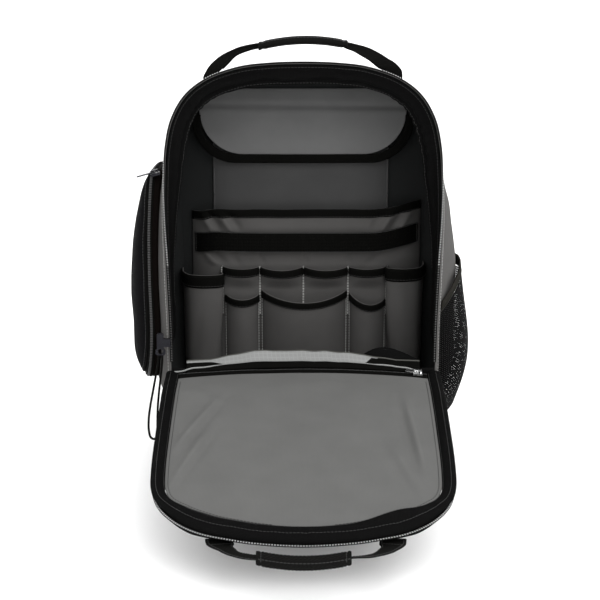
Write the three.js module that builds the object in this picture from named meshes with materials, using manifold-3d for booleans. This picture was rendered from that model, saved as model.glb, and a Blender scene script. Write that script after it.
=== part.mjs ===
// A tool backpack that stands open: a soft upright shell with organiser pockets on its inner rear
// wall, a front flap that is unzipped and folded down to the floor, a zipped pocket on its left
// side and a net pocket on its right. Millimetres. +X is the viewer's right, -Y the open front,
// +Z up. The origin is the middle of the base's underside, on the floor.
import * as THREE from "three";
import { mergeVertices } from "three/addons/utils/BufferGeometryUtils.js";
import Module from "manifold-3d";

const { lerp, smoothstep, clamp, degToRad } = THREE.MathUtils;
const vec = (x, y, z) => new THREE.Vector3(x, y, z);

// Driving sizes of the shell
const HEIGHT = 480; // top of the open rim above the floor
const HALF_WIDTH = 177; // half the width of the rim at its widest
const DEPTH = 190; // front to rear at the floor
const LEAN = 55; // how far the rim's top lies behind its foot
const REAR_HEIGHT = 438; // top of the shell at its rear edge
const REAR_HALF_WIDTH = 167;
const REAR_SQUARENESS = 0.65; // under 1 gives the rear edge squarer shoulders than the rim
const SWELL = 34; // how far the sides bulge past the rim low down
const HINGE_HEIGHT = 95; // fold line of the front flap
const LIP_DROP = 8; // the low front wall's top lies this much under the fold

// Thicknesses and clearances
const WALL = 3; // padded gusset cloth
const CLOTH = 1.5; // plain pocket cloth
const TAPE = 1.2; // binding and webbing tape
const BACK_PAD = 10;
const BASE_THICK = 3;
const GAP = 0.3;
const LAY = 0.9; // room under a tape that lies on a curved panel

// Front flap
const FLAP_LENGTH = 388;
const FLAP_END_HEIGHT = 10; // its far edge above the floor
const FLAP_DEPTH = 16; // from the flap's outer cloth to its zip line
const FLAP_REST = 2.8; // room for the webbing under the flap's far end
const HINGE_DROOP = 9; // the fold line's ends lie this much lower than its middle
const BORDER_SIDE = 15; // the black border's width at the sides
const BORDER_END = 35; // and at the far edge
const FLAP_ZIP_END = 20; // the flap pocket's zip band ends this far from the fold

// Rear wall furniture, heights above the floor and places across
const SLEEVE_LEFT = -121;
const SLEEVE_RIGHT = 115;
const SLEEVE_TOP = 352;
const SLEEVE_ROOM = 9;
const COVER_BOTTOM = 329;
const COVER_TOP = 426;
const COVER_HALF = 147;
const COVER_CORNER = 58;
const COVER_ROOM = 16;
const COVER_BINDING = 11;
const WIDE_LEFT = -150;
const WIDE_RIGHT = 159;
const WIDE_TOP = 263;
const WIDE_ROOM = 26; // how far the wide pocket stands off the rear wall
const WIDE_BINDING = 12;
const POCKET_FOOT = 22; // lower edge of the long pockets
const BAND_HEIGHT = 27; // elastic band
const BAND_MIDDLE = 224;
const BAND_ROOM = 8.2;
const UPPER_TOP = 189;
const UPPER_FOOT = 120;
const UPPER_BINDING = 12;
const LOWER_BINDING = 11;
const WALL_POCKET_TOP = 182;
const WALL_POCKET_BAND = 18;

// Side pockets
const LEFT_POCKET_DEPTH = 24;
const LEFT_POCKET_MIDDLE = 200;
const LEFT_POCKET_HALF_HEIGHT = 137;
const LEFT_POCKET_HALF_REACH = 0.35; // share of the shell's depth
const NET_FOOT = 8;
const NET_ROOM = 18;
const NET_THICK = 1.2;
const NET_CELLS_ALONG = 10;
const NET_CELLS_UP = 6;
const NET_BAR = 0.3; // share of a cell that its cords fill on each side
const HEM_HEIGHT = 16;

// Hardware
const PULL_WIDTH = 5;
const PULL_THICK = 1.5;
const SLIDER_LENGTH = 12;
const SLIDER_WIDTH = 8;
const SLIDER_THICK = 3.4;
const BRIDGE_WIDTH = 3;
const BRIDGE_BAR = 1.4;
const BRIDGE_ROOM = 2.6;
const BRIDGE_SPAN = 6.4;
const CORD = 3;

// Straps
const WEBBING_THICK = 1.8;
const STRAP_THICK = 10;
const STRAP_WIDTH = 62;

// Evenly spaced shares
const RING_STEPS = 40; // stations round the shell, shared by all that follows its outline
const FLAP_STEPS = 32; // stations round the flap
const ZIP_SHARE = 0.036; // the zip's part of the shell's depth
const WALL_START = 0.038;
const FACING_END = 0.2;
const FACING_LEAN = 20;

const REAR_Y = DEPTH / 2 - BACK_PAD - GAP;
const spread = (from, to, count) => Array.from({ length: count + 1 }, (_, i) => lerp(from, to, i / count));

// The unit vector that a surface faces, from its slopes along both of its shares
function facing(skin, u, v, us, vs) {
  const step = 1e-3;
  const [lowU, highU] = [Math.min(...us), Math.max(...us)];
  const [lowV, highV] = [Math.min(...vs), Math.max(...vs)];
  const alongU = skin(Math.min(u + step, highU), v).sub(skin(Math.max(u - step, lowU), v));
  const alongV = skin(u, Math.min(v + step, highV)).sub(skin(u, Math.max(v - step, lowV)));
  return alongU.cross(alongV).normalize();
}

function geometryOf(points, faces) {
  const geometry = new THREE.BufferGeometry();
  geometry.setAttribute("position", new THREE.Float32BufferAttribute(points.flatMap((p) => p.toArray()), 3));
  geometry.setIndex(faces.flat());
  return geometry;
}

const quad = (faces, a, b, c, d) => faces.push([a, b, c], [a, c, d]);

// A sheet of cloth: the skin is its outer face, and its thickness lies behind it
function cloth(skin, us, vs, thickness = CLOTH) {
  const points = [];
  for (const layer of [0, 1])
    for (const u of us)
      for (const v of vs) {
        const depth = typeof thickness === "function" ? thickness(u, v) : thickness;
        points.push(skin(u, v).addScaledVector(facing(skin, u, v, us, vs), -layer * depth));
      }
  const at = (layer, i, j) => (layer * us.length + i) * vs.length + j;
  const faces = [];
  const [lastU, lastV] = [us.length - 1, vs.length - 1];
  for (let i = 0; i < lastU; i++)
    for (let j = 0; j < lastV; j++) {
      quad(faces, at(0, i, j), at(0, i + 1, j), at(0, i + 1, j + 1), at(0, i, j + 1));
      quad(faces, at(1, i, j), at(1, i, j + 1), at(1, i + 1, j + 1), at(1, i + 1, j));
    }
  for (let i = 0; i < lastU; i++) {
    quad(faces, at(0, i + 1, 0), at(0, i, 0), at(1, i, 0), at(1, i + 1, 0));
    quad(faces, at(0, i, lastV), at(0, i + 1, lastV), at(1, i + 1, lastV), at(1, i, lastV));
  }
  for (let j = 0; j < lastV; j++) {
    quad(faces, at(0, lastU, j + 1), at(0, lastU, j), at(1, lastU, j), at(1, lastU, j + 1));
    quad(faces, at(0, 0, j), at(0, 0, j + 1), at(1, 0, j + 1), at(1, 0, j));
  }
  return geometryOf(points, faces);
}

// A closed skin of rings that shrink to a pole, open at its first ring, with its thickness behind it
function dome(skin, turns, rings, thickness) {
  const points = [];
  const faces = [];
  const normal = (a, r) => facing(skin, a, r, [-9, 9], [0, 1]);
  for (const layer of [0, 1]) {
    for (const r of rings)
      for (const a of turns) points.push(skin(a, r).addScaledVector(normal(a, r), -layer * thickness));
    points.push(skin(0, 0).addScaledVector(normal(0, 0.02), -layer * thickness));
  }
  const around = turns.length;
  const at = (layer, k, i) => layer * (rings.length * around + 1) + k * around + (i % around);
  const pole = (layer) => layer * (rings.length * around + 1) + rings.length * around;
  for (let i = 0; i < around; i++) {
    for (let k = 0; k < rings.length - 1; k++) {
      quad(faces, at(0, k, i), at(0, k + 1, i), at(0, k + 1, i + 1), at(0, k, i + 1));
      quad(faces, at(1, k, i), at(1, k, i + 1), at(1, k + 1, i + 1), at(1, k + 1, i));
    }
    const last = rings.length - 1;
    faces.push([at(0, last, i), pole(0), at(0, last, i + 1)]);
    faces.push([at(1, last, i), at(1, last, i + 1), pole(1)]);
    quad(faces, at(0, 0, i + 1), at(1, 0, i + 1), at(1, 0, i), at(0, 0, i));
  }
  return geometryOf(points, faces);
}

// A net: a sheet whose every cell is cut through, with a bar left round it
function net(skin, us, vs, thickness) {
  const points = [];
  const faces = [];
  const put = (u, v, layer) =>
    points.push(skin(u, v).addScaledVector(facing(skin, u, v, us, vs), -layer * thickness)) - 1;
  const corner = new Map();
  for (const layer of [0, 1])
    us.forEach((u, i) => vs.forEach((v, j) => corner.set(`${layer} ${i} ${j}`, put(u, v, layer))));
  const at = (layer, i, j) => corner.get(`${layer} ${i} ${j}`);
  for (let i = 0; i < us.length - 1; i++)
    for (let j = 0; j < vs.length - 1; j++) {
      const [midU, midV] = [(us[i] + us[i + 1]) / 2, (vs[j] + vs[j + 1]) / 2];
      const [halfU, halfV] = [(us[i + 1] - us[i]) / 2, (vs[j + 1] - vs[j]) / 2];
      const open = 1 - NET_BAR;
      const holes = [0, 1].map((layer) =>
        [[-1, -1], [1, -1], [1, 1], [-1, 1]].map(([a, b]) =>
          put(midU + a * halfU * open, midV + b * halfV * open, layer)));
      const outer = [0, 1].map((layer) =>
        [at(layer, i, j), at(layer, i + 1, j), at(layer, i + 1, j + 1), at(layer, i, j + 1)]);
      for (let k = 0; k < 4; k++) {
        const n = (k + 1) % 4;
        quad(faces, outer[0][k], outer[0][n], holes[0][n], holes[0][k]);
        quad(faces, outer[1][n], outer[1][k], holes[1][k], holes[1][n]);
        quad(faces, holes[0][k], holes[0][n], holes[1][n], holes[1][k]);
      }
    }
  const [lastU, lastV] = [us.length - 1, vs.length - 1];
  for (let i = 0; i < lastU; i++) {
    quad(faces, at(0, i + 1, 0), at(0, i, 0), at(1, i, 0), at(1, i + 1, 0));
    quad(faces, at(0, i, lastV), at(0, i + 1, lastV), at(1, i + 1, lastV), at(1, i, lastV));
  }
  for (let j = 0; j < lastV; j++) {
    quad(faces, at(0, lastU, j + 1), at(0, lastU, j), at(1, lastU, j), at(1, lastU, j + 1));
    quad(faces, at(0, 0, j), at(0, 0, j + 1), at(1, 0, j + 1), at(1, 0, j));
  }
  return geometryOf(points, faces);
}

// A solid through closed rings of equal count, capped at both ends
function loft(rings) {
  const around = rings[0].length;
  const points = rings.flat();
  const faces = [];
  for (let k = 0; k < rings.length - 1; k++)
    for (let i = 0; i < around; i++) {
      const n = (i + 1) % around;
      quad(faces, k * around + i, k * around + n, (k + 1) * around + n, (k + 1) * around + i);
    }
  const centre = (ring) => ring.reduce((sum, p) => sum.add(p), vec(0, 0, 0)).divideScalar(around);
  const first = points.push(centre(rings[0])) - 1;
  const last = points.push(centre(rings[rings.length - 1])) - 1;
  const end = (rings.length - 1) * around;
  for (let i = 0; i < around; i++) {
    const n = (i + 1) % around;
    faces.push([first, n, i], [last, end + i, end + n]);
  }
  return geometryOf(points, faces);
}

// A strap along a table of stations: its centre, the way its width runs, and the width
function strapSkin(rows) {
  const centre = new THREE.CatmullRomCurve3(rows.map((r) => vec(r.x, r.y, r.z)), false, "centripetal");
  const place = (u) => u * (rows.length - 1);
  const between = (u, key) => {
    const k = Math.min(Math.floor(place(u)), rows.length - 2);
    const share = smoothstep(place(u) - k, 0, 1);
    return lerp(rows[k][key], rows[k + 1][key], share);
  };
  return (u, v) => {
    const across = vec(between(u, "ax"), between(u, "ay"), between(u, "az")).normalize();
    return centre.getPoint(u).addScaledVector(across, (v - 0.5) * between(u, "width"));
  };
}

// A point that lies off a surface of two shares
const over = (skin, u, v, distance) =>
  skin(u, v).addScaledVector(facing(skin, u, v, [0, 1], [0, 1]), distance);

const node = new THREE.Group();
function add(name, geometry, colour, roughness = 0.85, metalness = 0) {
  const mesh = new THREE.Mesh(geometry, new THREE.MeshStandardMaterial({ color: colour, roughness, metalness }));
  mesh.name = name;
  node.add(mesh);
  return mesh;
}

const GREY = "#5a5c5c";
const PANEL_GREY = "#6f7070";
const POCKET_GREY = "#4b4e4f";
const BLACK = "#1c1c1b";
const SILVER = "#c8c8c8";
const METAL = "#b9bbbd";
const DARK_METAL = "#2e2e30";

// The rim's outline, one side, from its top to the floor, as shares of half width and height
const RIM_OUTLINE = [
  { across: 0, up: 1 },
  { across: 0.25, up: 0.997 },
  { across: 0.46, up: 0.987 },
  { across: 0.69, up: 0.957 },
  { across: 0.845, up: 0.913 },
  { across: 0.945, up: 0.85 },
  { across: 0.99, up: 0.775 },
  { across: 1, up: 0.7 },
  { across: 0.995, up: 0.585 },
  { across: 0.973, up: 0.454 },
  { across: 0.955, up: 0.3 },
  { across: 0.95, up: 0.2 },
  { across: 0.945, up: 0.1 },
  { across: 0.92, up: 0.04 },
  { across: 0.87, up: 0.01 },
  { across: 0.8, up: 0 },
];

// A smooth curve through one side's rows and their mirror image, from left to right
function mirrored(rows, toPoint) {
  const right = rows.map((row) => toPoint(row));
  const left = right.slice(1).reverse().map((p) => vec(-p.x, p.y, p.z));
  return new THREE.CatmullRomCurve3([...left, ...right], false, "centripetal");
}

const rimCurve = mirrored(RIM_OUTLINE, (r) => vec(r.across * HALF_WIDTH, r.up * HEIGHT, 0));
const rimY = (z) => -DEPTH / 2 + (LEAN * z) / HEIGHT;

// How far the sides bulge past the rim, at a share of the height and of the depth
const swell = (up, s) =>
  SWELL * (1 - smoothstep(up, 0.38, 0.85)) * lerp(0.45, 1, smoothstep(up, 0, 0.2)) * Math.sin(Math.PI * clamp(s, 0, 1));

// The shell's outer face: u goes round the outline from left foot to right foot, s from rim to rear
function shell(u, s) {
  const p = rimCurve.getPointAt(clamp(u, 0, 1));
  const up = p.y / HEIGHT;
  const across = p.x / HALF_WIDTH;
  const side = Math.sign(across);
  const squared = side * Math.abs(across) ** lerp(1, REAR_SQUARENESS, clamp(s, 0, 1));
  const x = squared * lerp(HALF_WIDTH, REAR_HALF_WIDTH, s) + side * swell(up, s);
  const foot = BASE_THICK + GAP;
  return vec(x, lerp(rimY(p.y), REAR_Y, s), foot + up * (lerp(HEIGHT, REAR_HEIGHT, s) - foot));
}

// The shell's face moved outwards, or inwards where the distance is negative
function offShell(u, s, distance) {
  return shell(u, s).addScaledVector(facing(shell, u, s, [0, 1], [0, 1]), distance);
}

// The station on one side where the outline has a given share of the height
function stationAt(up, side) {
  let [low, high] = [0.5, 1];
  for (let i = 0; i < 40; i++) {
    const middle = (low + high) / 2;
    if (rimCurve.getPointAt(middle).y / HEIGHT > up) low = middle;
    else high = middle;
  }
  return side > 0 ? low : 1 - low;
}

// The station on one side where the shell has a height above the floor, at a share of its depth
function stationAtHeight(z, s, side) {
  const foot = BASE_THICK + GAP;
  return stationAt((z - foot) / (lerp(HEIGHT, REAR_HEIGHT, s) - foot), side);
}

// The shell's inner half width at a height, at a share of its depth
const innerHalf = (z, s) => shell(stationAtHeight(z, s, 1), s).x - WALL - GAP;

const ringStations = spread(0, 1, RING_STEPS);
const ringLength = rimCurve.getLength();

// The shared stations between two shares, with a clearance at each end
function ringSpan(from, to) {
  const inset = GAP / 2 / ringLength;
  const inner = ringStations.filter((u) => u > from + 0.004 && u < to - 0.004);
  return [from + inset, ...inner, to - inset];
}

const SHOULDER_UP = 0.86;
const leftShoulder = stationAt(SHOULDER_UP, -1);
const rightShoulder = stationAt(SHOULDER_UP, 1);
const leftHinge = stationAt(HINGE_HEIGHT / HEIGHT, -1);
const rightHinge = stationAt(HINGE_HEIGHT / HEIGHT, 1);

// A plate with rounded corners that narrows towards the rear
function roundedPlate(frontHalf, rearHalf, front, rear, radius, thickness) {
  const shape = new THREE.Shape();
  const rearRadius = radius / 2;
  shape.moveTo(-frontHalf + radius, front);
  shape.lineTo(frontHalf - radius, front);
  shape.absarc(frontHalf - radius, front + radius, radius, -Math.PI / 2, 0);
  shape.absarc(rearHalf - rearRadius, rear - rearRadius, rearRadius, 0, Math.PI / 2);
  shape.absarc(-rearHalf + rearRadius, rear - rearRadius, rearRadius, Math.PI / 2, Math.PI);
  shape.absarc(-frontHalf + radius, front + radius, radius, Math.PI, 1.5 * Math.PI);
  return new THREE.ExtrudeGeometry(shape, { depth: thickness, bevelEnabled: false, curveSegments: 6 });
}

// Shell
function addShell() {
  const depths = [WALL_START, FACING_END, 0.4, 0.6, 0.8, 1];
  const [frontHalf, rearHalf] = [0.9 * HALF_WIDTH, 0.88 * REAR_HALF_WIDTH];
  add("base_panel", roundedPlate(frontHalf, rearHalf, -DEPTH / 2 + WALL, DEPTH / 2, 28, BASE_THICK), BLACK);
  add("side_wall_left", cloth(shell, ringSpan(0, leftShoulder), depths, WALL), GREY);
  add("side_wall_right", cloth(shell, ringSpan(rightShoulder, 1), depths, WALL), GREY);
  add("top_wall", cloth(shell, ringSpan(leftShoulder, rightShoulder), depths, WALL), GREY);

  const outline = ringStations.map((u) => shell(u, 1)).map((p) => new THREE.Vector2(p.x, p.z));
  const pad = new THREE.ExtrudeGeometry(new THREE.Shape(outline), { depth: BACK_PAD, bevelEnabled: false });
  pad.rotateX(Math.PI / 2).translate(0, DEPTH / 2, 0);
  add("back_panel", pad, POCKET_GREY);
}

// The low front wall, from the base to the flap's fold
function addFrontLip() {
  const top = (HINGE_HEIGHT - LIP_DROP) / HEIGHT;
  const skin = (u, v) => {
    const up = top * v ** 1.5;
    const half = shell(stationAt(up, 1), 0);
    const rim = rimY(up * HEIGHT);
    const y = rim + WALL_START * (REAR_Y - rim) - 2 * GAP - WALL;
    return vec(half.x * (2 * u - 1), y, half.z + 2 * GAP);
  };
  add("front_lip", cloth(skin, spread(0, 1, 6), spread(0, 1, 6), WALL), BLACK);
}

// Zip tape and inner facing round the rim
function addRim() {
  const round = ringSpan(leftHinge, rightHinge);
  add("main_zip_body_half", cloth(shell, round, [0, ZIP_SHARE], TAPE * 1.5), BLACK);
  // The facing leans in from the rim like a flange, and lies back on the walls beside the fold
  const inner = (u, s) => {
    const lean = FACING_LEAN * ((s - WALL_START) / (FACING_END - WALL_START)) * smoothstep(shell(u, 0).z, 98, 135);
    return offShell(u, s, -WALL - 2 * GAP - lean);
  };
  add("rim_facing", cloth(inner, round, [WALL_START, FACING_END], TAPE), BLACK);
}

// The flap's own frame: x across, along the flap from its fold, and off its plane
const flapRun = Math.sqrt(FLAP_LENGTH ** 2 - (HINGE_HEIGHT - FLAP_END_HEIGHT) ** 2);
const hinge = vec(0, rimY(HINGE_HEIGHT), HINGE_HEIGHT);
const flapAlong = vec(0, -flapRun, FLAP_END_HEIGHT - HINGE_HEIGHT).divideScalar(FLAP_LENGTH);
const flapUp = vec(0, flapAlong.z, -flapAlong.y);
const droop = (x, along) => HINGE_DROOP * (x / HALF_WIDTH) ** 2 * (1 - smoothstep(along, 0, 0.2 * FLAP_LENGTH));

function onFlap(x, along, off) {
  const p = hinge.clone().addScaledVector(flapAlong, along).addScaledVector(flapUp, off);
  p.x = x;
  p.z -= droop(x, along);
  return p;
}

// The outer cloth's level below the flap's plane, which flattens where it meets the floor
function flapFloor(x, along) {
  const height = HINGE_HEIGHT + flapAlong.z * along - droop(x, along);
  return Math.max(-FLAP_DEPTH, (FLAP_REST - height) / flapUp.z);
}

// The flap's outline, one side, from the middle of its far edge to the fold
const FLAP_OUTLINE = [
  { across: 0, along: 1 },
  { across: 0.31, along: 0.987 },
  { across: 0.48, along: 0.968 },
  { across: 0.645, along: 0.943 },
  { across: 0.775, along: 0.905 },
  { across: 0.875, along: 0.856 },
  { across: 0.945, along: 0.8 },
  { across: 0.985, along: 0.73 },
  { across: 1, along: 0.62 },
  { across: 1, along: 0.4 },
  { across: 0.99, along: 0.12 },
  { across: 0.985, along: 0.01 },
];
const flapCurve = mirrored(FLAP_OUTLINE, (r) => vec(r.across * HALF_WIDTH, r.along * FLAP_LENGTH, 0));
const flapStations = spread(0, 1, FLAP_STEPS);

// A point of the flap's outline moved inwards, as x and along
function flapInset(u, inset) {
  const p = flapCurve.getPointAt(clamp(u, 0, 1));
  const t = flapCurve.getTangentAt(clamp(u, 0, 1));
  return { x: p.x + t.y * inset, along: p.y - t.x * inset };
}

function borderWidth(u) {
  const t = flapCurve.getTangentAt(clamp(u, 0, 1));
  return lerp(BORDER_SIDE, BORDER_END, smoothstep(Math.abs(t.x), 0.1, 0.95));
}

// The station on the left side at a distance from the fold
function flapStationAt(along, inset) {
  let [low, high] = [0, 0.45];
  for (let i = 0; i < 40; i++) {
    const middle = (low + high) / 2;
    if (flapInset(middle, inset).along < along) low = middle;
    else high = middle;
  }
  return low;
}

const PANEL_LEVEL = -1;
// The border's section from the inner panel's edge over its crest to the outer cloth's edge
const BORDER_SECTION = [
  { share: 1, inset: 0, level: PANEL_LEVEL, floor: 0 },
  { share: 0.55, inset: 0, level: 3.5, floor: 0 },
  { share: 0, inset: 7, level: 1, floor: 0 },
  { share: 0, inset: 5, level: -4, floor: 0 },
  { share: 0, inset: 7, level: 3, floor: 1 },
  { share: 0, inset: 15, level: 0, floor: 1 },
];
const OUTER_INSET = 15;

// Folds of the flap's inner panel: where each runs from and to, its width and its height
const FLAP_FOLDS = [
  { x0: -0.62, along0: 0.24, x1: -0.86, along1: 0.53, width: 0.03, rise: 3.4 },
  { x0: -0.66, along0: 0.44, x1: -0.88, along1: 0.73, width: 0.03, rise: 3 },
  { x0: -0.5, along0: 0.36, x1: -0.8, along1: 0.5, width: 0.05, rise: -2 },
  { x0: 0.72, along0: 0.22, x1: 0.8, along1: 0.62, width: 0.035, rise: 3.2 },
  { x0: 0.6, along0: 0.5, x1: 0.78, along1: 0.78, width: 0.04, rise: 2.6 },
  { x0: 0.66, along0: 0.3, x1: 0.7, along1: 0.6, width: 0.05, rise: -2.2 },
];

function foldHeight(x, along) {
  let height = 0;
  for (const f of FLAP_FOLDS) {
    const start = [f.x0 * HALF_WIDTH, f.along0 * FLAP_LENGTH];
    const run = [f.x1 * HALF_WIDTH - start[0], f.along1 * FLAP_LENGTH - start[1]];
    const length = Math.hypot(...run);
    const t = ((x - start[0]) * run[0] + (along - start[1]) * run[1]) / length ** 2;
    const off = ((x - start[0]) * run[1] - (along - start[1]) * run[0]) / length;
    const ends = smoothstep(t, -0.25, 0.3) * (1 - smoothstep(t, 0.7, 1.25));
    height += f.rise * ends * Math.exp(-((off / (f.width * FLAP_LENGTH)) ** 2));
  }
  return height;
}

function addFlap() {
  const border = (u, v) => {
    const k = Math.min(Math.floor(v), BORDER_SECTION.length - 2);
    const [a, b] = [BORDER_SECTION[k], BORDER_SECTION[k + 1]];
    const insetOf = (row) => row.share * borderWidth(1 - u) + row.inset;
    const { x, along } = flapInset(1 - u, lerp(insetOf(a), insetOf(b), v - k));
    const levelOf = (row) => row.level + row.floor * flapFloor(x, along);
    return onFlap(x, along, lerp(levelOf(a), levelOf(b), v - k));
  };
  add("flap_border", cloth(border, flapStations, BORDER_SECTION.map((_, i) => i), 2), BLACK);

  // Rows run from one side's edge to the other's, from the far end to the fold
  const across = (insetAt, levelAt) => (u, v) => {
    const left = flapInset(0.5 - v, insetAt(0.5 - v));
    const right = flapInset(0.5 + v, insetAt(0.5 - v));
    const x = lerp(left.x, right.x, u);
    const along = lerp(left.along, right.along, u);
    return onFlap(x, along, levelAt(x, along));
  };
  const rowsFrom = (start) => {
    const inner = flapStations.filter((u) => u > start + 0.004 && u < 0.49);
    return [start, ...inner].reverse().map((u) => 0.5 - u);
  };
  const outerRows = rowsFrom(flapStationAt(5, OUTER_INSET));
  const outer = across(() => OUTER_INSET + 2, (x, along) => flapFloor(x, along) + WALL);
  add("flap_outer_panel", cloth(outer, spread(0, 1, 6), outerRows, WALL), GREY);

  const innerInset = (v) => borderWidth(v) + GAP;
  const panelRows = rowsFrom(flapStationAt(FLAP_ZIP_END + GAP, BORDER_SIDE));
  const panelLevel = (x, along) => {
    const sides = 1 - Math.abs(x / (HALF_WIDTH - BORDER_SIDE)) ** 4;
    const ends = Math.sin(Math.PI * clamp(along / (FLAP_LENGTH - BORDER_END), 0, 1)) ** 0.6;
    return PANEL_LEVEL + Math.max(0, sides) * ends * (5 + foldHeight(x, along));
  };
  const panel = across(innerInset, panelLevel);
  add("flap_pocket_panel", cloth(panel, spread(0, 1, 11), panelRows, CLOTH), PANEL_GREY);

  const bandEnd = HALF_WIDTH * 0.985 - BORDER_SIDE - GAP;
  const band = (u, v) => onFlap(lerp(-bandEnd, bandEnd, u), lerp(FLAP_ZIP_END, 6, v), PANEL_LEVEL + 0.8 * Math.sin(Math.PI * v));
  add("flap_pocket_zip", cloth(band, spread(0, 1, 14), [0, 0.5, 1], CLOTH), BLACK);

  const teeth = (u, v) => {
    const { x, along } = flapInset(1 - u, lerp(5 - GAP, 0, v));
    return onFlap(x, along, -4 + TAPE);
  };
  add("main_zip_flap_half", cloth(teeth, flapStations, [0, 1], TAPE * 1.5), BLACK);
}

// The silver lining that crests over the fold: heights above the fold line across the width
const CREST = [
  { across: -1, rise: 1.5 },
  { across: -0.8, rise: 3 },
  { across: -0.6, rise: 9 },
  { across: -0.42, rise: 14 },
  { across: -0.2, rise: 15 },
  { across: 0, rise: 16 },
  { across: 0.35, rise: 13 },
  { across: 0.58, rise: 8 },
  { across: 0.8, rise: 2.5 },
  { across: 1, rise: 1.5 },
];
const CREST_HALF = 150;

function crestRise(share) {
  const k = clamp(CREST.findIndex((row) => row.across > share) - 1, 0, CREST.length - 2);
  const [a, b] = [CREST[k], CREST[k + 1]];
  return lerp(a.rise, b.rise, clamp((share - a.across) / (b.across - a.across), 0, 1));
}

function addHingeLining() {
  const lipBack = rimY(HINGE_HEIGHT) + WALL_START * (REAR_Y - rimY(HINGE_HEIGHT)) - GAP;
  const profile = (x, v) => {
    const start = onFlap(x, 6 - GAP, PANEL_LEVEL + 0.5);
    const rise = crestRise(x / CREST_HALF);
    const crest = vec(x, lipBack + GAP + TAPE, HINGE_HEIGHT + TAPE + GAP + rise);
    const behind = vec(x, lipBack + GAP + TAPE, HINGE_HEIGHT - LIP_DROP - 8);
    if (v < 1) return start.lerp(crest, v);
    return crest.lerp(behind, v - 1);
  };
  const skin = (u, v) => profile(lerp(-CREST_HALF, CREST_HALF, u), v);
  add("hinge_lining", cloth(skin, spread(0, 1, 18), [0, 0.5, 1, 1.5, 2], TAPE), SILVER);

  // A rolled fold of the black lining behind the right end of the silver one
  const fold = (u, v) => {
    const x = lerp(72, 148, u);
    const arch = Math.sin(Math.PI * u ** 0.8);
    return vec(x, lipBack + 1.8 + 12 * v, lerp(HINGE_HEIGHT - 8, HINGE_HEIGHT + 2 + 16 * arch, Math.sin(0.5 * Math.PI * v)));
  };
  add("hinge_fold", cloth(fold, spread(0, 1, 8), [0, 0.35, 0.7, 1], TAPE), BLACK);
}

// Depths of the layers on the rear wall, measured forward from its face
const edgeShape = (share, power) => 1 - Math.abs(2 * share - 1) ** power;

function addSleeve() {
  const skin = (u, v) => {
    const z = lerp(POCKET_FOOT + 20, SLEEVE_TOP, v);
    const room = SLEEVE_ROOM * edgeShape(u, 6) * lerp(0.4, 1, v);
    return vec(lerp(SLEEVE_LEFT, SLEEVE_RIGHT, u), REAR_Y - GAP - CLOTH - room, z);
  };
  add("sleeve_panel", cloth(skin, spread(0, 1, 10), spread(0, 1, 4)), POCKET_GREY);
}

// The document sleeve's cover hangs from the top of the rear wall over the sleeve's mouth
function coverHalf(z) {
  const q = clamp((COVER_BOTTOM + COVER_CORNER - z) / COVER_CORNER, 0, 1);
  const upper = COVER_HALF - 38 * smoothstep(z, COVER_TOP - 30, COVER_TOP);
  return upper - COVER_CORNER * (1 - Math.sqrt(Math.max(0, 1 - q * q)));
}

function coverDepth(x, z) {
  const down = clamp((COVER_TOP - z) / (COVER_TOP - COVER_BOTTOM), 0, 1);
  const crease = -1.6 * Math.exp(-(((z - 404) / 5) ** 2));
  return COVER_ROOM * Math.sin(0.5 * Math.PI * down ** 0.8) * (1 - 0.25 * (x / COVER_HALF) ** 2) + crease * down;
}

function addCover() {
  const front = REAR_Y - GAP - CLOTH;
  const inner = (u, v) => {
    const z = lerp(COVER_BOTTOM + COVER_BINDING + GAP, COVER_TOP, v);
    const half = coverHalf(Math.max(z - COVER_BINDING, COVER_BOTTOM)) - COVER_BINDING - GAP;
    const x = half * (2 * u - 1);
    return vec(x, front - coverDepth(x, z), z);
  };
  add("document_flap_cover", cloth(inner, spread(0, 1, 10), spread(0, 1, 7)), POCKET_GREY);

  // The binding runs down the left edge, along the bottom and up the right edge
  const corner = (angle, inset) => [
    COVER_HALF - COVER_CORNER + (COVER_CORNER - inset) * Math.sin(angle),
    COVER_BOTTOM + COVER_CORNER - (COVER_CORNER - inset) * Math.cos(angle),
  ];
  const edge = (u, inset) => {
    const side = u < 0.5 ? -1 : 1;
    const t = Math.abs(2 * u - 1);
    if (t < 0.4) return [side * lerp(0, COVER_HALF - COVER_CORNER, t / 0.4), COVER_BOTTOM + inset];
    if (t < 0.8) {
      const [x, z] = corner(((t - 0.4) / 0.4) * (Math.PI / 2), inset);
      return [side * x, z];
    }
    return [side * (COVER_HALF - inset), lerp(COVER_BOTTOM + COVER_CORNER, COVER_TOP - 34, (t - 0.8) / 0.2)];
  };
  const binding = (u, v) => {
    const [x, z] = edge(u, lerp(0, COVER_BINDING, v));
    return vec(x, front - coverDepth(x, z) - LAY - TAPE, z);
  };
  add("document_flap_binding", cloth(binding, spread(0, 1, 26), [0, 1], TAPE), BLACK);
}

// The wide pocket across the rear wall, and the front face that smaller pockets are sewn to
const WIDE_MIDDLE = (WIDE_LEFT + WIDE_RIGHT) / 2;
function wideFace(x, z) {
  const share = clamp((x - WIDE_LEFT) / (WIDE_RIGHT - WIDE_LEFT), 0, 1);
  const stand = WIDE_ROOM * edgeShape(share, 8) * lerp(0.75, 1, clamp(z / WIDE_TOP, 0, 1));
  const pleats = smoothstep(z, BAND_MIDDLE + BAND_HEIGHT / 2, WIDE_TOP) * 2.4 * Math.sin((x - WIDE_MIDDLE) / 11) *
    smoothstep(Math.abs(x - WIDE_MIDDLE), 50, 90) * (1 - smoothstep(Math.abs(x - WIDE_MIDDLE), 120, 150));
  return REAR_Y - GAP - CLOTH - stand + pleats;
}

// The top edges rise a little towards the right end
const topTilt = (x) => 8 * smoothstep(x, 90, WIDE_RIGHT) - 6 * smoothstep(-x, 110, -WIDE_LEFT) + 4;

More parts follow.
